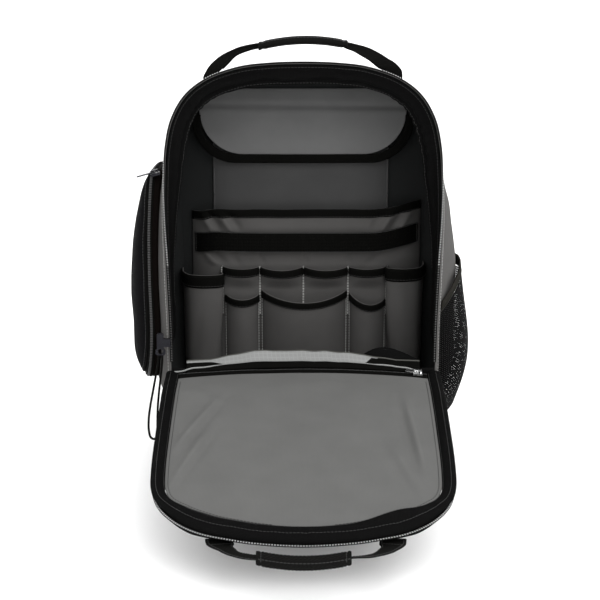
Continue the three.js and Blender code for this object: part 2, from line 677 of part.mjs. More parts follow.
function addWidePocket() {
  const across = [0, 0.015, 0.06, ...spread(0.12, 0.88, 16), 0.94, 0.985, 1];
  const skin = (u, v) => {
    const wanted = lerp(WIDE_LEFT, WIDE_RIGHT, u);
    const z = lerp(POCKET_FOOT, WIDE_TOP + topTilt(wanted), v);
    const x = Math.min(wanted, innerHalf(z, 1) - GAP);
    return vec(x, wideFace(wanted, z), z);
  };
  add("wide_pocket", cloth(skin, across, [0, 0.4, 0.68, 0.84, 1]), POCKET_GREY);
  const binding = (u, v) => {
    const x = lerp(WIDE_LEFT, WIDE_RIGHT, u);
    const z = WIDE_TOP + topTilt(x) - WIDE_BINDING * (1 - v);
    return vec(x, wideFace(x, z) - LAY - TAPE, z + 0.5);
  };
  add("wide_pocket_binding", cloth(binding, across, [0, 1], TAPE), BLACK);
  const band = (u, v) => {
    const x = lerp(WIDE_LEFT, WIDE_RIGHT, u);
    const z = BAND_MIDDLE + topTilt(x) - 4 + (v - 0.5) * BAND_HEIGHT;
    const bow = BAND_ROOM * edgeShape(clamp((u - 0.015) / 0.97, 0, 1), 4);
    return vec(x, wideFace(x, z) - GAP - 0.1 - TAPE - bow, z);
  };
  add("elastic_band", cloth(band, across.slice(1, -1), [0, 1], TAPE), BLACK);
}

// The rows of small pockets: left and right ends, height of the mouth, how far it stands off
const UPPER_POCKETS = [
  { name: "upper_pocket_1", left: -108, right: -58.5, room: 11 },
  { name: "upper_pocket_2", left: -57.5, right: 0, room: 14 },
  { name: "upper_pocket_3", left: 1, right: 60, room: 14 },
  { name: "upper_pocket_4", left: 61, right: 112, room: 12 },
];
const LOWER_POCKETS = [
  { name: "lower_pocket_1", left: -104, right: -60, top: 150, room: 18, sag: 3 },
  { name: "lower_pocket_2", left: -55, right: 58, top: 156, room: 33, sag: 9 },
  { name: "lower_pocket_3", left: 63, right: 110, top: 152, room: 20, sag: 7 },
];

function pocketSkin(row, foot, topAt, faceY, fill) {
  return (u, v) => {
    const x = lerp(row.left, row.right, u);
    const z = lerp(foot, topAt(u), v);
    const round = Math.max(0, 1 - (2 * u - 1) ** 2) ** 0.75;
    return vec(x, faceY(x, z) - row.room * round * fill(v, z), z);
  };
}

const POCKET_SHARES = [0, 0.07, 0.24, 0.5, 0.76, 0.93, 1];

function addUpperPockets() {
  const face = (x, z) => wideFace(x, z) - GAP - CLOTH;
  const fill = (v, z) => smoothstep(z, 156, 178);
  const top = () => UPPER_TOP;
  for (const row of UPPER_POCKETS) {
    const skin = pocketSkin(row, UPPER_FOOT, top, face, fill);
    add(row.name, cloth(skin, POCKET_SHARES, [0, 0.4, 0.65, 1]), POCKET_GREY);
  }
  // One tape edges the whole row and is tacked between the pockets
  const [first, last] = [UPPER_POCKETS[0], UPPER_POCKETS[UPPER_POCKETS.length - 1]];
  const across = UPPER_POCKETS.flatMap((row) => POCKET_SHARES.map((u) => lerp(row.left, row.right, u)));
  const share = across.map((x) => (x - first.left) / (last.right - first.left));
  const binding = (u, v) => {
    const x = lerp(first.left, last.right, u);
    const row = UPPER_POCKETS.find((r) => x <= r.right + 0.51) ?? last;
    const inside = clamp((x - row.left) / (row.right - row.left), 0, 1);
    const z = UPPER_TOP - UPPER_BINDING * (1 - v);
    const p = pocketSkin(row, UPPER_FOOT, top, face, fill)(inside, (z - UPPER_FOOT) / (UPPER_TOP - UPPER_FOOT));
    return vec(x, p.y - LAY - TAPE, z);
  };
  add("upper_pocket_binding", cloth(binding, share, [0, 1], TAPE), BLACK);
}

function addLowerPockets() {
  const face = (x, z) => wideFace(x, z) - 2 * (GAP + CLOTH);
  const fill = (v) => lerp(0.55, 1, v ** 0.7);
  for (const row of LOWER_POCKETS) {
    const top = (u) => row.top - row.sag * Math.max(0, 1 - (2 * u - 1) ** 2) - (row.name.endsWith("3") ? 8 * u : 0);
    const skin = pocketSkin(row, POCKET_FOOT, top, face, fill);
    add(row.name, cloth(skin, POCKET_SHARES, [0, 0.35, 0.7, 1]), POCKET_GREY);
    const binding = (u, v) => {
      const share = 1 - (LOWER_BINDING * (1 - v)) / (top(u) - POCKET_FOOT);
      return over(skin, u, share, LAY + TAPE);
    };
    add(row.name.replace("pocket", "binding"), cloth(binding, POCKET_SHARES, [0, 1], TAPE), BLACK);
  }
}

// Tapered pockets in the corners between the side walls and the rear wall, from the side wall to
// the seam: how far across, and how far forward of the rear wall as a share of their room
const CORNER_ROOM = 50;
const CORNER_SECTION = [
  { across: 0.97, forward: 0.45 },
  { across: 0.8, forward: 0.86 },
  { across: 0.45, forward: 1 },
  { across: 0.1, forward: 0.95 },
  { across: -0.06, forward: 0.8 },
];

function addWallPockets() {
  for (const side of [-1, 1]) {
    const seam = side < 0 ? -110.5 : 114.5;
    const name = side < 0 ? "left" : "right";
    const lift = side < 0 ? 0 : 9;
    const skin = (u, v) => {
      const z = lerp(POCKET_FOOT + 4, WALL_POCKET_TOP + lift, v);
      const taper = lerp(0.35, 1, smoothstep(z, 20, 150));
      const sewn = wideFace(seam, z) - GAP - CLOTH;
      const wall = vec(side * (innerHalf(z, 0.96) - 4 * GAP), lerp(rimY(z), REAR_Y, 0.96), z);
      const points = CORNER_SECTION.map((row) => {
        const x = lerp(seam + side * 14 * (1 - taper), wall.x, row.across);
        return vec(x, Math.min(sewn, REAR_Y - CORNER_ROOM * row.forward * lerp(0.8, 1, taper)), z);
      });
      const curve = new THREE.CatmullRomCurve3([wall, ...points, vec(seam, sewn, z)], false, "centripetal");
      return curve.getPoint(side < 0 ? u : 1 - u);
    };
    const across = spread(0, 1, 12);
    add(`wall_pocket_${name}`, cloth(skin, across, [0, 0.33, 0.66, 1]), POCKET_GREY);
    const band = (u, v) => {
      const share = 1 - (WALL_POCKET_BAND * (1 - v)) / (WALL_POCKET_TOP + lift - POCKET_FOOT - 4);
      return over(skin, u, share, LAY + TAPE);
    };
    add(`wall_pocket_band_${name}`, cloth(band, across.slice(1, -1), [0, 1], TAPE), BLACK);
  }
}

// The zipped box pocket on the left side
const roundShare = (value, power) => Math.sign(value) * Math.abs(value) ** power;
const POCKET_TURNS = spread(0, 1, 28).slice(0, -1);
const POCKET_RINGS = [1, 0.985, 0.95, 0.84, 0.5];

function leftPocketFace(turn, r) {
  const angle = 2 * Math.PI * turn;
  const z = LEFT_POCKET_MIDDLE + LEFT_POCKET_HALF_HEIGHT * r * roundShare(Math.sin(angle), 0.42);
  const s = 0.5 + LEFT_POCKET_HALF_REACH * r * roundShare(Math.cos(angle), 0.42);
  const rise = LEFT_POCKET_DEPTH * Math.sqrt(Math.max(0, 1 - r ** 8));
  return offShell(stationAtHeight(z, s, -1), s, LAY + rise);
}

function addLeftPocket() {
  const skin = (turn, r) => leftPocketFace(((turn % 1) + 1) % 1, clamp(r, 0, 1));
  add("left_pocket_shell", dome(skin, POCKET_TURNS, POCKET_RINGS, CLOTH), BLACK);
  const turns = POCKET_TURNS.filter((a) => a <= 0.56);
  const zip = (turn, r) => {
    const normal = facing(skin, turn, r, [-9, 9], [0, 1]);
    return skin(turn, r).addScaledVector(normal, TAPE + 2 * GAP);
  };
  add("left_pocket_zip", cloth(zip, turns, [0.95, 0.985], TAPE), BLACK);
}

// The open-topped net pocket on the right side
function hemStation(s) {
  const rise = Math.sin(Math.PI * clamp((s - 0.02) / 1.1, 0, 1));
  return stationAtHeight(170 + 45 * rise, s, 1);
}

function netSkin(u, v) {
  const s = lerp(0.06, 0.95, u);
  const foot = stationAt(NET_FOOT / HEIGHT, 1);
  const stretch = Math.sin(Math.PI * clamp(u, 0, 1)) ** 0.55;
  const up = clamp(v, 0, 1);
  const rise = lerp(0.3, 1, smoothstep(up, 0, 0.12)) * lerp(1, 0.42, smoothstep(up, 0.45, 1));
  return offShell(lerp(foot, hemStation(s), v), s, GAP + NET_THICK + NET_ROOM * stretch * rise * smoothstep(up + 0.02, 0, 0.05));
}

function addNetPocket() {
  const hemShare = 1 - HEM_HEIGHT / 205;
  const skin = (u, v) => netSkin(1 - u, v);
  const across = spread(0, 1, NET_CELLS_ALONG);
  add("net_pocket_panel", net(skin, across, spread(0, hemShare - 0.004, NET_CELLS_UP), NET_THICK), BLACK);
  add("net_pocket_hem", cloth((u, v) => {
    return over(skin, u, v, 0.4);
  }, across, [hemShare, (1 + hemShare) / 2, 1], 2.4), BLACK);
}

// Carry handles: two webbing ends and a rolled grip, on the top wall and on the flap's far edge
const TOP_HANDLE_REACH = 57;
const TOP_HANDLE = {
  left: [
    { x: -119, y: 16, z: 446.1, ax: 1, ay: 0, az: 0.45, width: 22 },
    { x: -119, y: 5, z: 449.2, ax: 1, ay: 0, az: 0.45, width: 22 },
    { x: -116, y: 1, z: 459, ax: 0.97, ay: 0, az: 0.2, width: 21.5 },
    { x: -103.7, y: 0, z: 472.7, ax: 0.8, ay: 0, az: -0.6, width: 16 },
    { x: -84.5, y: 0, z: 486, ax: 0.45, ay: 0.2, az: -0.85, width: 10.5 },
    { x: -57.35, y: 0, z: 494, ax: 0.1, ay: 0.3, az: -0.95, width: 8.5 },
  ],
  right: [
    { x: 114, y: 16, z: 451.6, ax: 1, ay: 0, az: -0.6, width: 30 },
    { x: 114, y: 5, z: 454.7, ax: 1, ay: 0, az: -0.6, width: 30 },
    { x: 111.5, y: 1, z: 463.8, ax: 0.98, ay: 0, az: -0.05, width: 28 },
    { x: 100.4, y: 0, z: 472.5, ax: 0.75, ay: 0, az: 0.62, width: 18 },
    { x: 84.3, y: 0, z: 483, ax: 0.5, ay: 0.2, az: 0.83, width: 15 },
    { x: 57.35, y: 0, z: 494.5, ax: 0.1, ay: 0.3, az: 0.95, width: 10 },
  ],
};
const FRONT_HANDLE = {
  left: [
    { x: -94, y: -432, z: 1.3, ax: 0.95, ay: 0.3, az: 0, width: 44 },
    { x: -88, y: -452, z: 1.3, ax: 0.85, ay: 0.5, az: 0, width: 36 },
    { x: -72, y: -476, z: 3, ax: 0.6, ay: 0.75, az: 0.15, width: 26 },
    { x: -52.7, y: -491, z: 6.5, ax: 0, ay: 0.9, az: 0.3, width: 14 },
  ],
  right: [
    { x: 96, y: -432, z: 1.3, ax: 0.95, ay: -0.3, az: 0, width: 44 },
    { x: 90, y: -452, z: 1.3, ax: 0.85, ay: -0.5, az: 0, width: 34 },
    { x: 73, y: -476, z: 3, ax: 0.6, ay: -0.75, az: 0.15, width: 26 },
    { x: 52.7, y: -491, z: 6.5, ax: 0, ay: -0.9, az: 0.3, width: 14 },
  ],
};

// A rolled grip that arches between its ends
function grip(half, centre, deepHalf, highHalf, tilt) {
  const rings = spread(-1, 1, 8).map((t) => {
    const middle = centre(t);
    const fade = Math.abs(t) === 1 ? 0.9 : 1;
    return spread(0, 1, 10).slice(0, -1).map((turn) => {
      const angle = 2 * Math.PI * turn;
      const deep = deepHalf * fade * roundShare(Math.cos(angle), 0.7);
      const high = highHalf * fade * roundShare(Math.sin(angle), 0.7);
      return middle.clone().add(vec(0, deep * Math.cos(tilt) - high * Math.sin(tilt), deep * Math.sin(tilt) + high * Math.cos(tilt)));
    });
  });
  return loft(rings);
}

function addHandles() {
  const webbing = (rows) => {
    const skin = strapSkin(rows);
    return cloth((u, v) => over(skin, u, v, WEBBING_THICK / 2), spread(0, 1, 9), [0, 1], WEBBING_THICK);
  };
  for (const side of ["left", "right"]) {
    add(`top_handle_webbing_${side}`, webbing(TOP_HANDLE[side]), BLACK);
    add(`front_handle_webbing_${side}`, webbing(FRONT_HANDLE[side]), BLACK);
  }
  const topCentre = (t) => vec(t * (TOP_HANDLE_REACH - GAP), 0, 501 - 7 * t * t + t);
  add("top_handle_grip", grip(TOP_HANDLE_REACH, topCentre, 13, 5.5, -0.1), BLACK);
  const frontCentre = (t) => vec(t * 52, -504 + 13 * t * t, 6.4 + 0.6 * t * t);
  add("front_handle_grip", grip(52, frontCentre, 10, 5.8, 0.1), BLACK);
}

const wasm = await Module();
wasm.setup();

function asSolid(geometry) {
  const bare = geometry.clone();
  bare.deleteAttribute("normal");
  bare.deleteAttribute("uv");
  const merged = mergeVertices(bare, 1e-4);
  const vertProperties = merged.getAttribute("position").array;
  return new wasm.Manifold(new wasm.Mesh({ numProp: 3, vertProperties, triVerts: new Uint32Array(merged.index.array) }));
}

function asGeometry(solid) {
  const mesh = solid.getMesh();
  const geometry = new THREE.BufferGeometry();
  geometry.setAttribute("position", new THREE.BufferAttribute(new Float32Array(mesh.vertProperties), 3));
  geometry.setIndex(new THREE.BufferAttribute(new Uint32Array(mesh.triVerts), 1));
  return geometry;
}

// A zip slider: its body with a bridge that a pull's crossbar passes under. Its origin is the
// crossbar's axis, which runs along y; x is the way it slides.
function sliderGeometry() {
  const body = new THREE.BoxGeometry(SLIDER_LENGTH, SLIDER_WIDTH, SLIDER_THICK);
  body.translate(0, 0, -BRIDGE_ROOM / 2 - SLIDER_THICK / 2);
  const half = BRIDGE_SPAN / 2 + BRIDGE_BAR;
  const arch = new THREE.Shape();
  arch.moveTo(-half, -BRIDGE_ROOM / 2 - 0.5);
  arch.lineTo(-half, BRIDGE_ROOM / 2 + BRIDGE_BAR);
  arch.lineTo(half, BRIDGE_ROOM / 2 + BRIDGE_BAR);
  arch.lineTo(half, -BRIDGE_ROOM / 2 - 0.5);
  arch.lineTo(half - BRIDGE_BAR, -BRIDGE_ROOM / 2 - 0.5);
  arch.lineTo(half - BRIDGE_BAR, BRIDGE_ROOM / 2);
  arch.lineTo(-half + BRIDGE_BAR, BRIDGE_ROOM / 2);
  arch.lineTo(-half + BRIDGE_BAR, -BRIDGE_ROOM / 2 - 0.5);
  const bridge = new THREE.ExtrudeGeometry(arch, { depth: BRIDGE_WIDTH, bevelEnabled: false });
  bridge.rotateX(Math.PI / 2).translate(0, BRIDGE_WIDTH / 2, 0);
  return asGeometry(asSolid(body).add(asSolid(bridge)));
}

// Its pull, which lies along +x from the same axis
function pullGeometry(length) {
  const half = PULL_WIDTH / 2 + 0.6;
  const bar = PULL_THICK / 2;
  const eyeEnd = BRIDGE_SPAN / 2 + BRIDGE_BAR + 1;
  const eyeHalf = BRIDGE_WIDTH / 2 + 0.4;
  const shape = new THREE.Shape();
  shape.moveTo(-bar, -half);
  shape.lineTo(length - half, -half * 0.8);
  shape.absarc(length - half, 0, half * 0.8, -Math.PI / 2, Math.PI / 2);
  shape.lineTo(-bar, half);
  const eye = new THREE.Path();
  eye.moveTo(bar, -eyeHalf);
  eye.lineTo(bar, eyeHalf);
  eye.lineTo(eyeEnd, eyeHalf);
  eye.lineTo(eyeEnd, -eyeHalf);
  shape.holes.push(eye);
  const plate = new THREE.ExtrudeGeometry(shape, { depth: PULL_THICK, bevelEnabled: false, curveSegments: 4 });
  return plate.translate(0, 0, -PULL_THICK / 2);
}

const FLAP_PULL_LENGTH = 17;
const POCKET_PULL_LENGTH = 25;
const FLAP_SLIDER_ACROSS = 0.83; // share of the half width
const POCKET_SLIDER_SEAT = { x: -190, y: -27, z: 336.2, tilt: -16 }; // on the left pocket's top

function addSliders() {
  const x = FLAP_SLIDER_ACROSS * HALF_WIDTH;
  const along = (FLAP_ZIP_END + 6) / 2;
  const seat = onFlap(x, along, PANEL_LEVEL + 0.8 + GAP + SLIDER_THICK + BRIDGE_ROOM / 2);
  const lean = Math.atan2(-flapAlong.z, -flapAlong.y);
  const slope = Math.atan2(2 * HINGE_DROOP * x, HALF_WIDTH ** 2);
  for (const [name, geometry] of [["flap_pocket_slider", sliderGeometry()], ["flap_pocket_pull", pullGeometry(FLAP_PULL_LENGTH).rotateZ(Math.PI)]]) {
    const mesh = add(name, geometry, METAL, 0.35, 1);
    mesh.rotation.set(lean, slope, 0, "XYZ");
    mesh.position.copy(seat);
  }

  for (const [name, geometry] of [["left_pocket_slider", sliderGeometry()], ["left_pocket_pull", pullGeometry(POCKET_PULL_LENGTH).rotateZ(Math.PI)]]) {
    const mesh = add(name, geometry, DARK_METAL, 0.4, 1);
    mesh.rotation.set(0, degToRad(POCKET_SLIDER_SEAT.tilt), 0);
    mesh.position.set(POCKET_SLIDER_SEAT.x, POCKET_SLIDER_SEAT.y, POCKET_SLIDER_SEAT.z);
  }

  // The main zip's slider at the left end of the fold: its body on the zip, and a plate that hangs
  // from it with a ring for the cord
  const plate = new THREE.Shape();
  const outline = [[12.8, -3], [12.8, 8], [4.5, 8], [4.5, 13], [2.5, 15.5], [-2.5, 15.5], [-4.5, 13], [-4.5, -6],
    [-6.5, -8], [-6.5, -12], [-4.5, -14], [4.5, -14], [6.5, -12], [6.5, -8], [4.5, -6], [4.5, -3]];
  outline.forEach(([x, z], i) => (i ? plate.lineTo(x, z) : plate.moveTo(x, z)));
  const hole = new THREE.Path();
  hole.absarc(0, -9, 3.4, 0, 2 * Math.PI, true);
  plate.holes.push(hole);
  const slider = new THREE.ExtrudeGeometry(plate, { depth: 4, bevelEnabled: false, curveSegments: 6 });
  slider.rotateX(Math.PI / 2);
  const mesh = add("main_slider", slider, DARK_METAL, 0.35, 1);
  mesh.position.set(-183, -80, 122);
}

// The cord loop on the main slider, by its chosen points
const CORD_ROUTE = [
  [-185.2, -82, 107.7],
  [-186, -83, 101],
  [-187.5, -87, 91],
  [-190, -93, 78],
  [-193, -98, 62],
  [-196, -103, 46],
  [-198, -107, 30],
  [-198, -110, 16],
  [-195.5, -112, 6.5],
  [-190.5, -112.5, 4.5],
  [-187.5, -110, 12],
  [-187, -107, 26],
  [-186.5, -103, 44],
  [-185, -98, 62],
  [-183, -92, 80],
  [-181.5, -86, 94],
  [-181, -83, 101],
  [-180.9, -82, 107.7],
];

function addCord() {
  const route = new THREE.CatmullRomCurve3(CORD_ROUTE.map((p) => vec(...p)), false, "centripetal");
  const section = new THREE.Shape();
  section.absarc(0, 0, CORD / 2, 0, 2 * Math.PI);
  const options = { steps: 28, extrudePath: route, bevelEnabled: false, curveSegments: 4 };
  add("pull_cord", new THREE.ExtrudeGeometry(section, options), BLACK);
}

// Shoulder straps on the outside of the rear wall
const STRAP_ROWS = [
  { x: 40, y: 95, z: 412, ax: 1, ay: 0, az: 0.1, width: 50 },
  { x: 46, y: 108, z: 392, ax: 1, ay: 0, az: 0.1, width: 58 },
  { x: 56, y: 121, z: 340, ax: 1, ay: 0, az: 0.12, width: STRAP_WIDTH },
  { x: 70, y: 126, z: 270, ax: 1, ay: 0, az: 0.2, width: STRAP_WIDTH },
  { x: 88, y: 120, z: 205, ax: 1, ay: 0, az: 0.25, width: 56 },
  { x: 100, y: 112, z: 160, ax: 1, ay: 0, az: 0, width: 38 },
];
const WEBBING_ROWS = [
  { x: 102, y: 113, z: 145, ax: 1, ay: 0, az: 0, width: 25 },
  { x: 110, y: 112, z: 120, ax: 1, ay: 0, az: 0.25, width: 25 },
  { x: 124, y: 107, z: 80, ax: 1, ay: 0, az: 0.3, width: 25 },
  { x: 136, y: 95, z: 46, ax: 1, ay: 0, az: 0.35, width: 25 },
];

function addStraps() {
  for (const side of [-1, 1]) {
    const name = side < 0 ? "left" : "right";
    const turned = (rows) => rows.map((r) => ({ ...r, x: side * r.x, az: side * r.az, y: r.y + GAP }));
    const padSkin = strapSkin(turned(STRAP_ROWS));
    const swellOf = (u, v) => lerp(0.25, 1, edgeShape(v, 4)) * STRAP_THICK * lerp(0.4, 1, Math.sin(Math.PI * clamp(u, 0.06, 0.94)) ** 0.4);
    const outer = (u, v) => padSkin(u, v).add(vec(0, swellOf(u, v), 0));
    add(`shoulder_strap_${name}`, cloth((u, v) => outer(u, 1 - v), spread(0, 1, 12), [0, 0.12, 0.5, 0.88, 1], (u, v) => swellOf(u, v)), BLACK);
    add(`strap_webbing_${name}`, cloth(strapSkin(turned(WEBBING_ROWS)), spread(0, 1, 8), [0, 1], WEBBING_THICK), BLACK);
    const buckle = new THREE.BoxGeometry(34, 4, 14.4);
    const mesh = add(`strap_buckle_${name}`, buckle, BLACK, 0.5);
    mesh.position.set(side * 101.5, 114, 152.5);
  }
}

addShell();
addFrontLip();
addRim();
addFlap();
addHingeLining();
addSleeve();
addCover();
addWidePocket();
addUpperPockets();
addLowerPockets();
addWallPockets();
addLeftPocket();
addNetPocket();
addHandles();
addSliders();
addCord();
addStraps();

export default node;
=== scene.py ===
"""A tool backpack that stands open on a pale floor, with its front flap folded down before it."""

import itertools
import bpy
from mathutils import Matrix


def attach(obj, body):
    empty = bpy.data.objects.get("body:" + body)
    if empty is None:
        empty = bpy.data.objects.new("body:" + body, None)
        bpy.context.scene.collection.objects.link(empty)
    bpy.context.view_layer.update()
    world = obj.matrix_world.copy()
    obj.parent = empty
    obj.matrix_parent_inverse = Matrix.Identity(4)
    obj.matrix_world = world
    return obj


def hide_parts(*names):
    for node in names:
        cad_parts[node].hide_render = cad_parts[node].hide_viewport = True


bl_info = {
    "name": "Tool backpack",
    "version": (1, 0, 0),
    "blender": (4, 5, 0),
    "location": "View3D > Sidebar > Backpack",
    "description": "Builds an open tool backpack piece by piece on its packed frame",
    "category": "Add Mesh",
}

from collections import namedtuple

import bpy
import numpy as np
from bpy.props import FloatProperty, FloatVectorProperty, PointerProperty
from mathutils import Vector

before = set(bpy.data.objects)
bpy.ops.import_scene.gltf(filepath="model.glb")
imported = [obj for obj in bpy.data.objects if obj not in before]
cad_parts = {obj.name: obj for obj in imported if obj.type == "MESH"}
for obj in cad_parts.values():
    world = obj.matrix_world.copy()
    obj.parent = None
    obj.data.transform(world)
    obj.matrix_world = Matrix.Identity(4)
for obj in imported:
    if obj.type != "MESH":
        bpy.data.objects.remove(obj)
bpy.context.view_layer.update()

MM = 0.001
STEP = 1e-3  # a small step in a share, to see which way a surface runs

# Sizes of the bag in millimetres, the same as those of its solids
HEIGHT = 480
HALF_WIDTH = 177
DEPTH = 190
LEAN = 55
REAR_HEIGHT = 438
REAR_HALF_WIDTH = 167
REAR_SQUARENESS = 0.65
SWELL = 34
HINGE_HEIGHT = 95
LIP_DROP = 8
WALL = 3
CLOTH = 1.5
TAPE = 1.2
BACK_PAD = 10
BASE_THICK = 3
GAP = 0.3
LAY = 0.9
FLAP_LENGTH = 388
FLAP_END_HEIGHT = 10
FLAP_DEPTH = 16
FLAP_REST = 2.8
HINGE_DROOP = 9
BORDER_SIDE = 15
BORDER_END = 35
FLAP_ZIP_END = 20
SLEEVE_LEFT, SLEEVE_RIGHT, SLEEVE_TOP, SLEEVE_ROOM = -121, 115, 352, 9
COVER_BOTTOM, COVER_TOP, COVER_HALF, COVER_CORNER, COVER_ROOM, COVER_BINDING = 329, 426, 147, 58, 16, 11
WIDE_LEFT, WIDE_RIGHT, WIDE_TOP, WIDE_ROOM, WIDE_BINDING = -150, 159, 263, 26, 12
POCKET_FOOT = 22
BAND_HEIGHT, BAND_MIDDLE, BAND_ROOM = 27, 224, 8.2
UPPER_TOP, UPPER_FOOT, UPPER_BINDING = 189, 120, 12
LOWER_BINDING = 11
WALL_POCKET_TOP, WALL_POCKET_BAND = 182, 18
LEFT_POCKET_DEPTH, LEFT_POCKET_MIDDLE, LEFT_POCKET_HALF_HEIGHT, LEFT_POCKET_HALF_REACH = 24, 200, 137, 0.35
NET_FOOT, NET_ROOM, NET_THICK = 8, 18, 1.2
HEM_HEIGHT = 16
ZIP_SHARE, WALL_START, FACING_END, FACING_LEAN = 0.036, 0.038, 0.2, 20
WEBBING_THICK = 1.8
STRAP_THICK, STRAP_WIDTH = 10, 62
CORD = 3
REAR_Y = DEPTH / 2 - BACK_PAD - GAP


def lerp(a, b, t):
    return a + (b - a) * t


def ease(x, low, high):
    t = np.clip((x - low) / (high - low), 0, 1)
    return t * t * (3 - 2 * t)


def hump(x, width):
    return np.exp(-((x / width) ** 2))


def domed(v, power=4):
    """The rise of a tape's rounded face over its width."""
    return np.sqrt(np.clip(1 - (2 * v - 1) ** power, 0, 1))


def vec(x, y, z):
    return np.stack(np.broadcast_arrays(np.asarray(x, float), y, z), axis=-1).astype(float)


def unit(vectors):
    return vectors / np.linalg.norm(vectors, axis=-1, keepdims=True).clip(1e-9)


def drift(points, size, seed=0):
    """Smooth noise from -1 to 1 whose lumps are about size millimetres across."""
    q = np.asarray(points, float) / size + seed * 17.3
    cell = np.floor(q).astype(np.int64)
    f = q - cell
    f = f * f * (3 - 2 * f)
    total = 0
    for corner in itertools.product((0, 1), repeat=3):
        c = cell + np.array(corner)
        h = (c[..., 0] * 374761393 + c[..., 1] * 668265263 + c[..., 2] * 1442695041) & 0xFFFFFFFF
        h = ((h ^ (h >> 13)) * 1274126177) & 0xFFFFFFFF
        weight = np.prod(np.where(np.array(corner) == 1, f, 1 - f), axis=-1)
        total = total + weight * ((h ^ (h >> 16)) / 2147483647.5 - 1)
    return total


def ruffle(points, seed, coarse=0.8, fine=0.2, grain=(1, 1, 1)):
    """The unevenness of hung cloth, in millimetres."""
    p = np.asarray(points, float) * np.array(grain)
    return coarse * drift(p, 36, seed) + fine * drift(p, 12, seed + 5)


Fold = namedtuple("Fold", "a0 b0 a1 b1 width rise")


def folds(table, a, b):
    """Soft ridges and dents, each along a line from (a0, b0) to (a1, b1)."""
    height = 0
    for f in table:
        run = (f.a1 - f.a0, f.b1 - f.b0)
        length = np.hypot(*run)
        t = ((a - f.a0) * run[0] + (b - f.b0) * run[1]) / length**2
        off = ((a - f.a0) * run[1] - (b - f.b0) * run[0]) / length
        ends = ease(t, -0.25, 0.3) * (1 - ease(t, 0.7, 1.25))
        height = height + f.rise * ends * hump(off, f.width)
    return height


def smooth_line(rows, samples=40):
    """Points on the centripetal curve through the rows, the same number on every span."""
    p = np.asarray(rows, float)
    p = np.vstack([2 * p[0] - p[1], p, 2 * p[-1] - p[-2]])
    t = np.linspace(0, 1, samples, endpoint=False)[:, None]
    out = []
    for k in range(1, len(p) - 2):
        p0, p1, p2, p3 = p[k - 1 : k + 3]
        d0, d1, d2 = (max(np.linalg.norm(b - a) ** 0.5, 1e-4) for a, b in ((p0, p1), (p1, p2), (p2, p3)))
        m1 = ((p1 - p0) / d0 - (p2 - p0) / (d0 + d1) + (p2 - p1) / d1) * d1
        m2 = ((p2 - p1) / d1 - (p3 - p1) / (d1 + d2) + (p3 - p2) / d2) * d1
        out.append(p1 + m1 * t + (-3 * p1 + 3 * p2 - 2 * m1 - m2) * t**2 + (2 * p1 - 2 * p2 + m1 + m2) * t**3)
    return np.vstack(out + [p[-2:-1]])


def reach(points):
    return np.concatenate([[0], np.cumsum(np.linalg.norm(np.diff(points, axis=0), axis=1))])


def along(curve, share):
    """Points at shares of a dense curve's length."""
    length = reach(curve)
    return np.stack([np.interp(np.asarray(share) * length[-1], length, column) for column in curve.T], axis=-1)


def by_row(curve, share):
    """Points at shares of a dense curve's rows."""
    place = np.asarray(share) * (len(curve) - 1)
    return np.stack([np.interp(place, np.arange(len(curve)), column) for column in curve.T], axis=-1)


def facing(skin, u, v):
    """The unit vector that a surface of two shares faces."""
    du = skin(np.minimum(u + STEP, 1), v) - skin(np.maximum(u - STEP, 0), v)
    dv = skin(u, np.minimum(v + STEP, 1)) - skin(u, np.maximum(v - STEP, 0))
    return unit(np.cross(du, dv))


def normal_of(skin, u, v):
    """The same, for a surface that goes on past its ends."""
    v = np.broadcast_to(v, np.shape(u))
    return unit(np.cross(skin(u + STEP, v) - skin(u - STEP, v), skin(u, v + STEP) - skin(u, v - STEP)))


def over(skin, u, v, distance):
    lift = np.asarray(distance, float)
    return skin(u, v) + facing(skin, u, v) * (lift[..., None] if lift.ndim else lift)


def linear(code):
    parts = [int(code[i : i + 2], 16) / 255 for i in (1, 3, 5)]
    return [c / 12.92 if c <= 0.04045 else ((c + 0.055) / 1.055) ** 2.4 for c in parts]


# Meshes


def grid_faces(rows, columns, wrap=False):
    i, j = np.meshgrid(np.arange(rows - 1), np.arange(columns if wrap else columns - 1), indexing="ij")
    a = i * columns + j
    b = i * columns + (j + 1) % columns
    return np.stack([a, a + columns, b + columns, b], -1).reshape(-1, 4)


def grid_normals(points):
    return unit(np.cross(np.gradient(points, axis=0), np.gradient(points, axis=1)))


def grid_metres(points):
    """Lengths along both ways of a grid, so that a weave keeps its real size."""
    zero_row, zero_column = np.zeros((1, points.shape[1])), np.zeros((points.shape[0], 1))
    a = np.concatenate([zero_row, np.cumsum(np.linalg.norm(np.diff(points, axis=0), axis=2), axis=0)])
    b = np.concatenate([zero_column, np.cumsum(np.linalg.norm(np.diff(points, axis=1), axis=2), axis=1)], 1)
    a -= a[-1:] / 2
    b -= b[:, -1:] / 2
    return np.stack([a, b], -1) * MM


